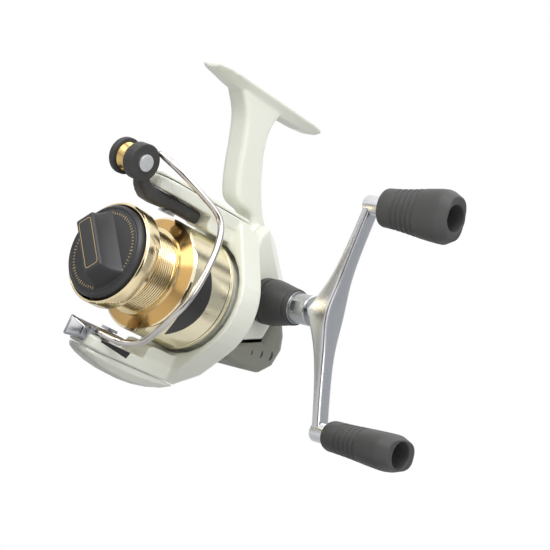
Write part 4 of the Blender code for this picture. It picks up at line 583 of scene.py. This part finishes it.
# %% [markdown]
# The castings and mouldings keep the shape of their solids, but real ones have no facets. A bevel would trip
# over so many small faces. Instead a copy of the solid is merged, remeshed on a fine grid and relaxed, which
# rounds every edge the way a mould and a thick coat of paint do. The node itself stays as it is.

# %% Copies and modifiers
NODE_GAP = 1e-6


def copy_of(node):
    """A solid's own mesh, with its corners merged."""
    bm = bmesh.new()
    bm.from_mesh(frame["nodes"][node].data)
    bmesh.ops.remove_doubles(bm, verts=bm.verts, dist=NODE_GAP)
    return bm


def baked(mesh, *settings):
    """The mesh after these modifiers, each a kind and its values."""
    helper = linked("helper", mesh)
    for kind, values in settings:
        modifier = helper.modifiers.new(kind.lower(), kind)
        for key, value in values.items():
            setattr(modifier, key, value)
    bpy.context.view_layer.update()
    result = bpy.data.meshes.new_from_object(helper.evaluated_get(bpy.context.evaluated_depsgraph_get()))
    bpy.data.objects.remove(helper)
    result.materials.clear()
    return result


# %% [markdown]
# Some shapes are easiest to take off a block, as a plane or a cutter does. A Boolean does it here: the second
# shape is a helper that is removed again at once.

# %% Cutting helpers
PLANE_WIDE, PLANE_DEEP = 60, 20


def cut_away(mesh, bm):
    """The mesh without the room that a closed shape takes."""
    cutter = linked("cutter", mesh_of(bm, "cutter"))
    mesh = baked(mesh, ("BOOLEAN", {"operation": "DIFFERENCE", "object": cutter}))
    bpy.data.objects.remove(cutter)
    return mesh


def planed(mesh, place, point, normal, along, length):
    """The mesh with a slope through this point, as long as given in one direction."""
    bm = bmesh.new()
    bmesh.ops.create_cube(bm, size=1.0)
    bmesh.ops.translate(bm, verts=bm.verts, vec=(0, 0, 0.5))
    bmesh.ops.scale(bm, verts=bm.verts, vec=(length, PLANE_WIDE, PLANE_DEEP))
    normal, along = Vector(normal).normalized(), Vector(along).normalized()
    turn = Matrix((along, normal.cross(along), normal)).transposed().to_4x4()
    bm.transform(place @ Matrix.Translation(point) @ turn)
    return cut_away(mesh, bm)


# %% [markdown]
# The remesh works on cubes of one size, so a small piece takes a finer grid than a large one. More passes of
# smoothing give rounder edges.

# %% Moulding helper
def moulded(name, node, grid, passes, look, body, plane=None):
    """A piece from a solid's copy: planed if asked, remeshed on a grid in millimetres, then relaxed."""
    mesh = mesh_of(copy_of(node), name)
    if plane:
        mesh = planed(mesh, *plane)
    mesh = baked(mesh, ("REMESH", {"mode": "VOXEL", "voxel_size": grid * MM}),
                 ("SMOOTH", {"factor": 0.5, "iterations": passes}))
    mesh.name = name
    return dress(name, mesh, [look], body, [node])


# %% [markdown]
# The body, its side cover and the rotor are castings under pearl paint. The rear corner of the body and the
# lower root of the rotor also slope off, so a wide block planes them before the remesh rounds the new edge.
# A slope is its axes, a point on it, its outward direction, a direction along it and its length.

# %% Castings in pearl paint
REAR_SLOPE = (REEL, (7.65, 77.0, 22.7), (1.0, 0.5, 0.5), (0, 1, -1), 40)
ROOT_SLOPE = (ROTOR, (0, 49.3, -33.1), (0, 0.806, -0.594), (1, 0, 0), 40)
moulded("body_casting", "body_housing", 0.45, 12, "pearl", "frame", REAR_SLOPE)
moulded("side_plate", "side_cover", 0.36, 10, "pearl", "frame", REAR_SLOPE)
moulded("rotor_casting", "rotor_frame", 0.40, 10, "pearl", "rotor", ROOT_SLOPE)
for side in ("upper", "lower"):
    moulded(f"arm_plate_{side}", f"arm_cover_{side}", 0.16, 6, "pearl", "rotor")

# %% [markdown]
# The tail cover and the switch under it are plain mouldings. Their edges are sharper than a painted casting's,
# so the grid is finer and fewer passes relax it.

# %% Mouldings in plastic
moulded("tail_shell", "tail_cover", 0.22, 6, "grey", "frame")
moulded("anti_reverse_switch", "anti_reverse_lever", 0.16, 6, "cream", "anti_reverse")

# %% [markdown]
# The bail arm is a stout lever with a full, rounded belly between its pivot and the roller. The moulded copy
# of the solid is a little slim there, so its right flank and its underside swell out along that length.

# %% Bail arm
BELLY_WIDER, BELLY_DEEPER = 0.45, 0.8
BELLY_RISE, FLANK_FALL, UNDER_FALL = (-1.0, 4.0), (27.0, 20.0), (13.0, 9.0)
UNDERSIDE, ARM_INSIDE = (26.0, 23.0), 27.6
to_rotor = ROTOR.inverted()


def eased(start, end, value):
    """0 on the side of start, 1 on the side of end and a smooth ramp between them."""
    share = min(1.0, max(0.0, (value - start) / (end - start)))
    return share * share * (3 - 2 * share)


lever = moulded("bail_arm", "bail_lever", 0.20, 10, "black", "bail")
for vertex in lever.data.vertices:
    spot = to_rotor @ vertex.co
    under_arm = eased(*BELLY_RISE, spot.y) * (spot.z < ARM_INSIDE)
    if spot.x > 0:
        spot.x *= 1 + BELLY_WIDER * under_arm * eased(*FLANK_FALL, spot.y)
    spot.z -= BELLY_DEEPER * under_arm * eased(*UNDER_FALL, spot.y) * eased(*UNDERSIDE, spot.z)
    vertex.co = ROTOR @ spot

# %% [markdown]
# Three thumb marks on the tail's side grow towards the rear. They are shallow in the shell, so their shade is
# painted: a black crescent of two joined arcs is laid in each, drawn by one rule.

# %% Thumb marks and their painted shade
MARKS, MARK_STEPS, MARK_FACE, MARK_THICK = 3, 16, 10.37, 0.1
FIRST_MARK, MARK_GROWTH = (74.4, -10.8, 1.05), (5.2, 1.0, 0.45)
OUTER_BOW, INNER_BOW = 1.0, 0.5
turns = [math.radians(-90 + 180 * k / MARK_STEPS) for k in range(MARK_STEPS + 1)]
crescent = [(OUTER_BOW, turn) for turn in turns] + [(INNER_BOW, turn) for turn in turns[-2:0:-1]]
bm = bmesh.new()
for i in range(MARKS):
    along, height, radius = [first + growth * i for first, growth in zip(FIRST_MARK, MARK_GROWTH)]
    corners = []
    for bow, turn in crescent:
        corners.append((MARK_FACE, along + bow * radius * math.cos(turn), height + radius * math.sin(turn)))
    bm.faces.new([bm.verts.new(corner) for corner in corners])
bmesh.ops.solidify(bm, geom=bm.faces[:], thickness=MARK_THICK)
tidy_mesh(bm)
# Black crescents: painted shade in the shallow thumb marks.
add_piece("thumb_mark_painted_shades", bm, REEL, ["black"], "frame")

# %% [markdown]
# The line roller turns between two round black hubs on the bail arm, held by a screw with a silver disc.
# All are turned about the roller's own axis, so they share one place in the rotor's axes. The roller's joint
# gives it.

# %% Roller hubs
roller_at = to_rotor @ Vector(joint["roller_spin"]["pos_m"])
ROLLER = ROTOR @ Matrix.Translation((0, roller_at.y, roller_at.z))
hub = [(0.9, 0), (0.9, 6.42), (5.08, 6.42), (5.08, 3.5), (4.7, 3.3), (4.7, 0)]
add_piece("roller_hub", spun(hub, "X", 0.5), ROLLER, ["black"], "bail")
cap = [(-4.6, 1.6), (-4.6, 6.42), (-6.6, 6.42), (-7.7, 5.6), (-8.2, 4.2), (-8.2, 0), (-7.66, 0), (-7.66, 1.6)]
add_piece("roller_end", spun(cap, "X", 0.35), ROLLER, ["black"], "bail", ["roller_cap"])
disc = [(-7.4, 0), (-7.4, 1.3), (5.0, 1.3), (5.0, 2.9), (6.0, 2.9), (6.0, 0)]
add_piece("roller_pin", spun(disc, "X", 0.15), ROLLER, ["screw"], "bail", ["roller_screw"])

# %% [markdown]
# The roller itself is brass, with a shallow groove that keeps the line in the middle. Half a sine wave draws
# it, so no corner is left that could fray the line.

# %% Roller groove
ROLLER_LEFT, ROLLER_WIDE, ROLLER_RADIUS, ROLLER_HOLE = -4.3, 4.9, 5.0, 2.75
GROOVE_DIP, ROLLER_STEPS = 0.9, 16
groove = [(ROLLER_LEFT, ROLLER_HOLE)]
for i in range(ROLLER_STEPS + 1):
    share = i / ROLLER_STEPS
    groove.append((ROLLER_LEFT + ROLLER_WIDE * share, ROLLER_RADIUS - GROOVE_DIP * math.sin(math.pi * share)))
groove.append((0.6, ROLLER_HOLE))
add_piece("roller", spun(groove, "X"), ROLLER, ["brass"], "roller", ["line_roller"])

# %% [markdown]
# The bail wire is a polished rod bent round the spool. A curve with a round section could be bent again by
# hand, but the solid already follows the bend. A copy of it is subdivided until the rod is round, which thins
# it, and grown back along its normals.

# %% Bail wire
WIRE_GROWTH, WIRE_FLAT = 0.32, 0.5
bm = copy_of("bail_wire")
bmesh.ops.dissolve_limit(bm, angle_limit=math.radians(WIRE_FLAT), verts=bm.verts, edges=bm.edges)
mesh = baked(mesh_of(bm, "wire"), ("SUBSURF", {"levels": 2, "render_levels": 2}),
             ("DISPLACE", {"strength": WIRE_GROWTH * MM, "mid_level": 0.0}))
dress("bail_rod", mesh, ["wire"], "bail", ["bail_wire"])

# %% [markdown]
# The holder at the wire's other end is bright metal. The solid's plate is kept behind a
# straight cut, and a hull over ten corners makes the nose. Its facets stay crisp, with their edges rounded.
# The large faces turned to the front are polished silver as a painted highlight, the rest dark steel as painted
# shade.

# %% Bail holder
HOLDER_CUT, NOSE_EDGE, NOSE_FLAT = 3.9, 0.8, 9
HIGHLIGHT_LEAN, HIGHLIGHT_AREA = -0.4, 4.0
NOSE = [(-4.25, 1.5, -31.3), (0.0, -2.2, -31.3), (5.0, 1.2, -29.6), (5.0, 4.2, -29.8), (-4.25, 4.2, -31.0),
        (-4.25, 1.5, -24.0), (0.0, -2.2, -23.8), (5.0, 1.2, -25.7), (5.0, 4.2, -25.4), (-4.25, 4.2, -24.3)]
bm = copy_of("bail_holder")
bm.transform(to_rotor)
cut = bmesh.ops.bisect_plane(bm, geom=bm.verts[:] + bm.edges[:] + bm.faces[:], plane_co=(0, HOLDER_CUT, 0),
                             plane_no=(0, -1, 0), clear_outer=True)
bmesh.ops.holes_fill(bm, edges=[e for e in cut["geom_cut"] if isinstance(e, bmesh.types.BMEdge)])
block = bmesh.new()
bmesh.ops.convex_hull(block, input=[block.verts.new(corner) for corner in NOSE])
bmesh.ops.dissolve_limit(block, angle_limit=math.radians(NOSE_FLAT), verts=block.verts, edges=block.edges)
tidy_mesh(block)
soften(block, NOSE_EDGE, segments=4, angle=20)
# Large faces turned to the front take polished silver as a painted highlight; the rest keep dark steel as painted
# shade.
for face in block.faces:
    face.material_index = 1 if face.normal.y < HIGHLIGHT_LEAN and face.calc_area() > HIGHLIGHT_AREA else 0
bm.from_mesh(mesh_of(block, "nose"))
add_piece("bail_clamp", bm, ROTOR, ["holder_steel_painted_shade", "silver"], "bail", ["bail_holder"])

# %% [markdown]
# Beside the holder the arm's flank has a pocket in shade, which shows as a slim dark wedge under the wire. It
# could be cut into the casting, but its shade is painted instead: a black plate laid on the flank.

# %% Arm pocket
POCKET_FACE, POCKET_THICK = 7.02, 0.12
bm = bmesh.new()
wedge = [(9.0, -27.75), (23.8, -27.75), (23.0, -30.2), (9.0, -28.5)]
bm.faces.new([bm.verts.new((POCKET_FACE, along, height)) for along, height in wedge])
bmesh.ops.solidify(bm, geom=bm.faces[:], thickness=POCKET_THICK)
tidy_mesh(bm)
# The pocket's shade is painted: a black plate on the flank.
add_piece("arm_pocket_painted_shade", bm, ROTOR, ["shadow"], "rotor")

# %% [markdown]
# The handle leaves the body through a black collar and a tapered boot, with a slim bright ring and a
# steel shank behind it. All are turned about the axle, and the small steps in the boot's profile catch the
# light like the rims of the real one.

# %% Handle boot
collar = [(10.9, 3.55), (10.9, 7.1), (11.5, 7.9), (12.4, 8.4), (13.4, 8.58), (15.4, 8.58), (15.4, 3.55)]
add_piece("boot_collar", spun(collar, "X", 0.2), AXLE, ["black"], "frame", ["handle_collar"])
boot = [(15.75, 5.8), (15.75, 8.3), (16.0, 8.55), (17.6, 8.55), (17.8, 8.4), (18.1, 8.4), (18.3, 8.5), (21.0, 8.0),
        (24.6, 7.25), (25.9, 6.95), (26.1, 6.75), (26.5, 6.75), (26.7, 6.9), (28.2, 6.6), (28.4, 6.3), (28.4, 5.8)]
add_piece("boot_sleeve", spun(boot, "X", 0.1), CRANK, ["black"], "crank", ["handle_sleeve"])
ring = [(28.42, 5.6), (28.42, 6.0), (28.7, 5.9), (28.7, 5.6)]
add_piece("boot_ring", spun(ring, "X", 0.05), CRANK, ["steel"], "crank")

# %% [markdown]
# A short slot in the shank's front is where the folding handle locks. A small block is taken out of the
# turned rod for it.

# %% Handle shank
SLOT_SIZE, SLOT_AT = (4.4, 4.0, 3.6), (31.6, -5.9, 0.4)
shank = [(15.75, 0), (15.75, 5.5), (35.6, 5.5), (35.95, 5.2), (35.95, 0)]
rod = mesh_of(spun(shank, "X"), "shank")
bm = bmesh.new()
bmesh.ops.create_cube(bm, size=1.0)
bmesh.ops.scale(bm, verts=bm.verts, vec=SLOT_SIZE)
bmesh.ops.translate(bm, verts=bm.verts, vec=SLOT_AT)
mesh = cut_away(rod, bm)
mesh.transform(CRANK)
dress("shank", mesh, ["steel"], "crank", ["handle_shank"])

# %% [markdown]
# The double arm is one polished forging. A tapered curve would shrink it equally all round, but the real arm
# thins and narrows at different rates. So a cube is cut into slices along its length, every slice is moved
# outwards, thinned and narrowed by a smooth rule, and the four long corners are rounded.

# %% Handle arm
HUB_NEAR, HUB_FAR, TIP_NEAR, TIP_FAR = 36.25, 46.9, 50.2, 53.8
HUB_WIDE, TIP_WIDE, HUB_BLEND, HUB_SPREAD = 5.2, 3.3, 0.05, 0.26
NEAR_POWER, FAR_POWER = 0.62, 1.4
ARM_SLICES, ARM_EDGE = 63, 1.3


def arm_section(share):
    """Middle, half depth and half width of the arm at this share of its reach."""
    reach = (share**2 + HUB_BLEND**2) ** 0.5 - HUB_BLEND
    near = HUB_NEAR + (TIP_NEAR - HUB_NEAR) * reach**NEAR_POWER
    far = HUB_FAR + (TIP_FAR - HUB_FAR) * reach**FAR_POWER
    wide = TIP_WIDE + (HUB_WIDE - TIP_WIDE) * math.exp(-((share / HUB_SPREAD) ** 2))
    return (near + far) / 2, (far - near) / 2, wide


bm = bmesh.new()
bmesh.ops.create_cube(bm, size=2.0)
slice_edges(bm, ALONG_Z, ARM_SLICES)
for vert in bm.verts:
    middle, deep, wide = arm_section(vert.co.z)
    vert.co = (middle + vert.co.x * deep, vert.co.y * wide, vert.co.z * ARM_REACH)
tidy_mesh(bm)
soften(bm, ARM_EDGE, segments=6, angle=50)
add_piece("arm_forging", bm, CRANK, ["silver"], "crank", ["handle_arm"])

# %% [markdown]
# At each end of the arm a round boss carries a grip. Both are the same turned shape, set at the ends of the arm.

# %% Arm bosses
boss = [(49.05, 0), (49.05, 3.0), (49.8, 3.6), (56.2, 3.6), (56.65, 3.3), (56.65, 0)]
for side, sign in (("upper", 1), ("lower", -1)):
    place = CRANK @ Matrix.Translation((0, 0, sign * ARM_REACH))
    add_piece(f"arm_boss_{side}", spun(boss, "X", 0.15), place, ["silver"], "crank")

# %% [markdown]
# The rubber grips are oval paddles with five grooves near the root, a chamfered broad end and a deep bore.
# Their profile is drawn in shares of the length, each with a pinch in millimetres: how far the surface lies
# below the smooth swell of the grip.

# %% Grip profile
GRIP_START, GRIP_LENGTH = 57.0, 30.98
GRIP_RIBS, FIRST_RIB, RIB_PITCH, RIB_DEPTH, RIB_TOP, RIB_FLOOR = 5, 0.22, 0.075, 0.65, 0.02, 0.012
WIDE, SWELL = (6.9, 9.7), (0.06, 0.86)
BORE, BORE_FLOOR, BORE_FLARE, BORE_EDGE, SPINDLE_HOLE = 4.7, 77.0, 0.3, 0.4, 2.15


def between(pair, share):
    return pair[0] + (pair[1] - pair[0]) * share


def swell(share):
    """How far a grip has grown from its root to its broad end."""
    return 0.5 * share + 0.5 * eased(*SWELL, share)


def grip_profile():
    outline = [(0.0, -0.9), (0.012, -0.3), (0.04, 0.0), (0.12, 0.0)]
    for i in range(GRIP_RIBS):
        middle = FIRST_RIB + RIB_PITCH * i
        outline += [(middle - RIB_TOP, 0.0), (middle - RIB_FLOOR, -RIB_DEPTH),
                    (middle + RIB_FLOOR, -RIB_DEPTH), (middle + RIB_TOP, 0.0)]
    outline += [(0.62, 0.0), (0.72, 0.0), (0.80, 0.0), (0.86, -0.05), (0.875, -0.15), (0.985, -1.9), (1.0, -2.3)]
    points = [(GRIP_START + GRIP_LENGTH * s, between(WIDE, swell(s)) + pinch) for s, pinch in outline]
    end = GRIP_START + GRIP_LENGTH
    return points + [(end, BORE + BORE_FLARE), (end - BORE_EDGE, BORE), (BORE_FLOOR, BORE),
                     (BORE_FLOOR, SPINDLE_HOLE), (GRIP_START, SPINDLE_HOLE)]


print("grip profile", len(grip_profile()), "points")

# %% [markdown]
# Spun, a grip is round. Every ring is then pressed to an oval that grows squarer towards the broad end.
# Points near the bore are left alone, so that the bore stays round.

# %% Pressing to an oval
SLIM = (5.5, 6.72)
STAYS_ROUND, SQUARER, SQUARE_FROM, SQUARE_TO = 0.8, 0.7, 0.4, 0.8


def press_oval(bm, wide_axis):
    for vert in bm.verts:
        radius = math.hypot(vert.co.y, vert.co.z)
        if radius < BORE + STAYS_ROUND:
            continue
        share = (vert.co.x - GRIP_START) / GRIP_LENGTH
        slim = radius * between(SLIM, swell(share)) / between(WIDE, swell(share))
        power = 2.0 + SQUARER * max(0.0, min(1.0, (share - SQUARE_FROM) / (SQUARE_TO - SQUARE_FROM)))
        flat = vert.co.y / radius if wide_axis == "Y" else vert.co.z / radius
        tall = vert.co.z / radius if wide_axis == "Y" else vert.co.y / radius
        reach = (abs(flat / radius) ** power + abs(tall / slim) ** power) ** (-1 / power)
        vert.co.y *= reach / radius
        vert.co.z *= reach / radius


# %% [markdown]
# Both grips come from the one profile. They spin freely, so each stands at its own angle: the upper one is broad
# along the arm, the lower one across it.

# %% Grips
for side, sign, wide_axis in (("upper", 1, "Z"), ("lower", -1, "Y")):
    bm = spun(grip_profile(), "X", 0.25)
    press_oval(bm, wide_axis)
    place = CRANK @ Matrix.Translation((0, 0, sign * ARM_REACH))
    add_piece(f"grip_rubber_{side}", bm, place, ["rubber"], f"{side}_grip", [f"grip_{side}"])

# %% [markdown]
# What is left of the solids lies inside or shows only a little: gears, bearings, washers and screws.
# Their shapes are right already, so they keep them and only get a finish that suits their metal or plastic.

# %% Inner pieces
inner_looks = {"left_screw_cap": "chrome", "roller_bush": "black", "spool_rest": "black",
               "pinion_gear": "brass", "drag_nut": "brass", "drag_washer_2": "felt", "drag_washer_4": "felt"}
for name, node in frame["nodes"].items():
    node.data.materials.clear()
    node.data.materials.append(looks[inner_looks.get(name, "steel")])
print("solids with a finish", len(frame["nodes"]))

# %% [markdown]
# The reel hangs well above a plain pale floor, so that its shadow stays soft and faint. A curved backdrop is
# the usual way to hide the horizon, but it works from one side only, so the floor is flat.

# %% Floor
FLOOR_HEIGHT, FLOOR_HALF = -0.26, 3.0
bm = bmesh.new()
bmesh.ops.create_grid(bm, x_segments=8, y_segments=8, size=FLOOR_HALF)
bmesh.ops.translate(bm, verts=bm.verts, vec=(0, 0, FLOOR_HEIGHT))
floor = linked("floor", mesh_of(bm, "floor"))
print("floor", FLOOR_HEIGHT, "m")

# %% [markdown]
# Away from the reel the floor fades to pure white, so that no horizon shows. The fade follows the distance from
# the origin, and only the camera sees it, so no extra light falls on the reel.

# %% Floor paint
FADE_FROM, FADE_TO = 0.25, 0.55
floor_paint = bpy.data.materials.new("pale_floor")
floor_paint.use_nodes = True
nodes, links = floor_paint.node_tree.nodes, floor_paint.node_tree.links
paint = nodes["Principled BSDF"]
paint.inputs["Base Color"].default_value = (0.9, 0.9, 0.9, 1)
paint.inputs["Roughness"].default_value = 0.8
glow = nodes.new("ShaderNodeEmission")
reach = nodes.new("ShaderNodeVectorMath")
reach.operation = "LENGTH"
links.new(nodes.new("ShaderNodeTexCoord").outputs["Object"], reach.inputs[0])
far = nodes.new("ShaderNodeMapRange")
far.inputs["From Min"].default_value, far.inputs["From Max"].default_value = FADE_FROM, FADE_TO
links.new(reach.outputs["Value"], far.inputs["Value"])
path = nodes.new("ShaderNodeLightPath")
seen_far = nodes.new("ShaderNodeMath")
seen_far.operation = "MULTIPLY"
links.new(far.outputs["Result"], seen_far.inputs[0])
links.new(path.outputs["Is Camera Ray"], seen_far.inputs[1])
mix = nodes.new("ShaderNodeMixShader")
links.new(seen_far.outputs[0], mix.inputs[0])
links.new(paint.outputs[0], mix.inputs[1])
links.new(glow.outputs[0], mix.inputs[2])
links.new(mix.outputs[0], nodes["Material Output"].inputs["Surface"])
floor.data.materials.append(floor_paint)
print("floor white from", FADE_TO, "m")

# %% [markdown]
# The surround is white where the camera, a mirror or glass looks at it, at a strength of 1. The light that it
# sheds on the reel is a separate, weaker grey, so pale paint keeps its shading.

# %% Surround
AMBIENT, WHITE = 0.42, 1.0
world = bpy.data.worlds.new("studio")
bpy.context.scene.world = world
world.use_nodes = True
nodes, links = world.node_tree.nodes, world.node_tree.links
nodes.clear()
ambient = nodes.new("ShaderNodeBackground")
ambient.inputs["Color"].default_value = (0.95, 0.97, 1.0, 1)
ambient.inputs["Strength"].default_value = AMBIENT
white = nodes.new("ShaderNodeBackground")
white.inputs["Color"].default_value = (1, 1, 1, 1)
white.inputs["Strength"].default_value = WHITE
path = nodes.new("ShaderNodeLightPath")
seen = path.outputs["Is Camera Ray"]
for way in ("Is Glossy Ray", "Is Transmission Ray"):
    either = nodes.new("ShaderNodeMath")
    either.operation = "MAXIMUM"
    links.new(seen, either.inputs[0])
    links.new(path.outputs[way], either.inputs[1])
    seen = either.outputs[0]
mix = nodes.new("ShaderNodeMixShader")
links.new(seen, mix.inputs[0])
links.new(ambient.outputs[0], mix.inputs[1])
links.new(white.outputs[0], mix.inputs[2])
links.new(mix.outputs[0], nodes.new("ShaderNodeOutputWorld").inputs["Surface"])
print("surround lights at", AMBIENT, "and shows at", WHITE)

# %% [markdown]
# Three large soft lights stand in front, to the right and above, and a small one near the stem lifts the foot.
# Each is an area lamp turned to the middle of the reel. Large lamps give the lacquer broad, quiet highlights.

# %% Lights
centre = Vector((0.02, 0.0, -0.07))


def soft_light(name, place, size, power):
    lamp = bpy.data.lights.new(name, "AREA")
    lamp.shape = "RECTANGLE"
    lamp.size, lamp.size_y = size
    lamp.energy = power
    item = linked(name, lamp)
    item.location = place
    item.rotation_euler = (centre - Vector(place)).to_track_quat("-Z", "Y").to_euler()


soft_light("key", (-0.10, -0.75, 0.55), (0.6, 0.6), 2.1)
soft_light("side", (0.80, -0.20, 0.30), (0.5, 0.7), 2.1)
soft_light("stem", (0.16, -0.22, 0.14), (0.12, 0.12), 0.42)
soft_light("top", (0.05, 0.15, 0.8), (0.9, 0.7), 3.0)
print("lights", len(bpy.data.lights))

# %% [markdown]
# Bright metal in an all white room looks flat. As in a product photographer's studio, dark and grey cards
# stand round the reel, where only mirrors see them. One under it dims the light from below instead.

# %% Cards
# The grey card glows faintly by itself, in place of a card lit by the lamps: a painted light.
glowing_grey_card = bpy.data.materials.new("glowing_grey_card")
glowing_grey_card.use_nodes = True
grey_shader = glowing_grey_card.node_tree.nodes["Principled BSDF"]
grey_shader.inputs["Base Color"].default_value = (0, 0, 0, 1)
grey_shader.inputs["Emission Color"].default_value = (0.36, 0.38, 0.40, 1)
grey_shader.inputs["Emission Strength"].default_value = 1.0


def dark_card(name, place, size, shade=False, paint=looks["shadow"]):
    """A card turned to the reel. Mirrors see it, or with shade only diffuse light does."""
    bm = bmesh.new()
    bmesh.ops.create_grid(bm, x_segments=2, y_segments=2, size=0.5)
    bmesh.ops.scale(bm, verts=bm.verts, vec=(*size, 1))
    turn = (centre - Vector(place)).to_track_quat("Z", "Y").to_matrix().to_4x4()
    bm.transform(Matrix.Translation(place) @ turn)
    card = linked(name, mesh_of(bm, name))
    card.data.materials.append(paint)
    card.visible_camera = False
    card.visible_diffuse = shade
    card.visible_glossy = not shade
    card.visible_shadow = False


dark_card("card_under", (-0.02, -0.02, -0.17), (0.26, 0.26), True)
dark_card("card_low", (0.35, -0.45, -0.15), (0.5, 0.12))
dark_card("card_back", (0.17, 0.45, 0.31), (0.10, 0.25))
dark_card("card_far", (0.44, 0.44, 0.04), (0.4, 0.5), paint=glowing_grey_card)
dark_card("card_near", (0.33, -0.35, -0.13), (0.25, 0.25))
dark_card("card_left", (-0.62, -0.30, 0.10), (0.16, 0.6))
dark_card("card_right", (0.6, 0.1, -0.02), (0.15, 0.6))

# %% [markdown]
# The camera stands where the picture was taken from, slightly below the spool and rolled a little. Its focal
# length is known in pixels of the frame, so the lens follows from the width of the sensor.

# %% Camera
FOCAL_PIXELS, FRAME_PIXELS, SENSOR = 1600, 550, 36.0
lens = bpy.data.cameras.new("camera")
lens.sensor_width = SENSOR
lens.lens = SENSOR * FOCAL_PIXELS / FRAME_PIXELS
camera = linked("camera", lens)
right, up = (0.73336, 0.59346, 0.33165), (-0.15242, -0.3319, 0.93092)
back = (0.66254, -0.73325, -0.15295)
stand = Matrix((right, up, back)).transposed().to_4x4()
stand.translation = (0.40385, -0.40881, -0.1500)
camera.matrix_world = stand
bpy.context.scene.camera = camera
bpy.context.scene.view_settings.view_transform = "Standard"
print("lens", round(lens.lens, 2), "mm")
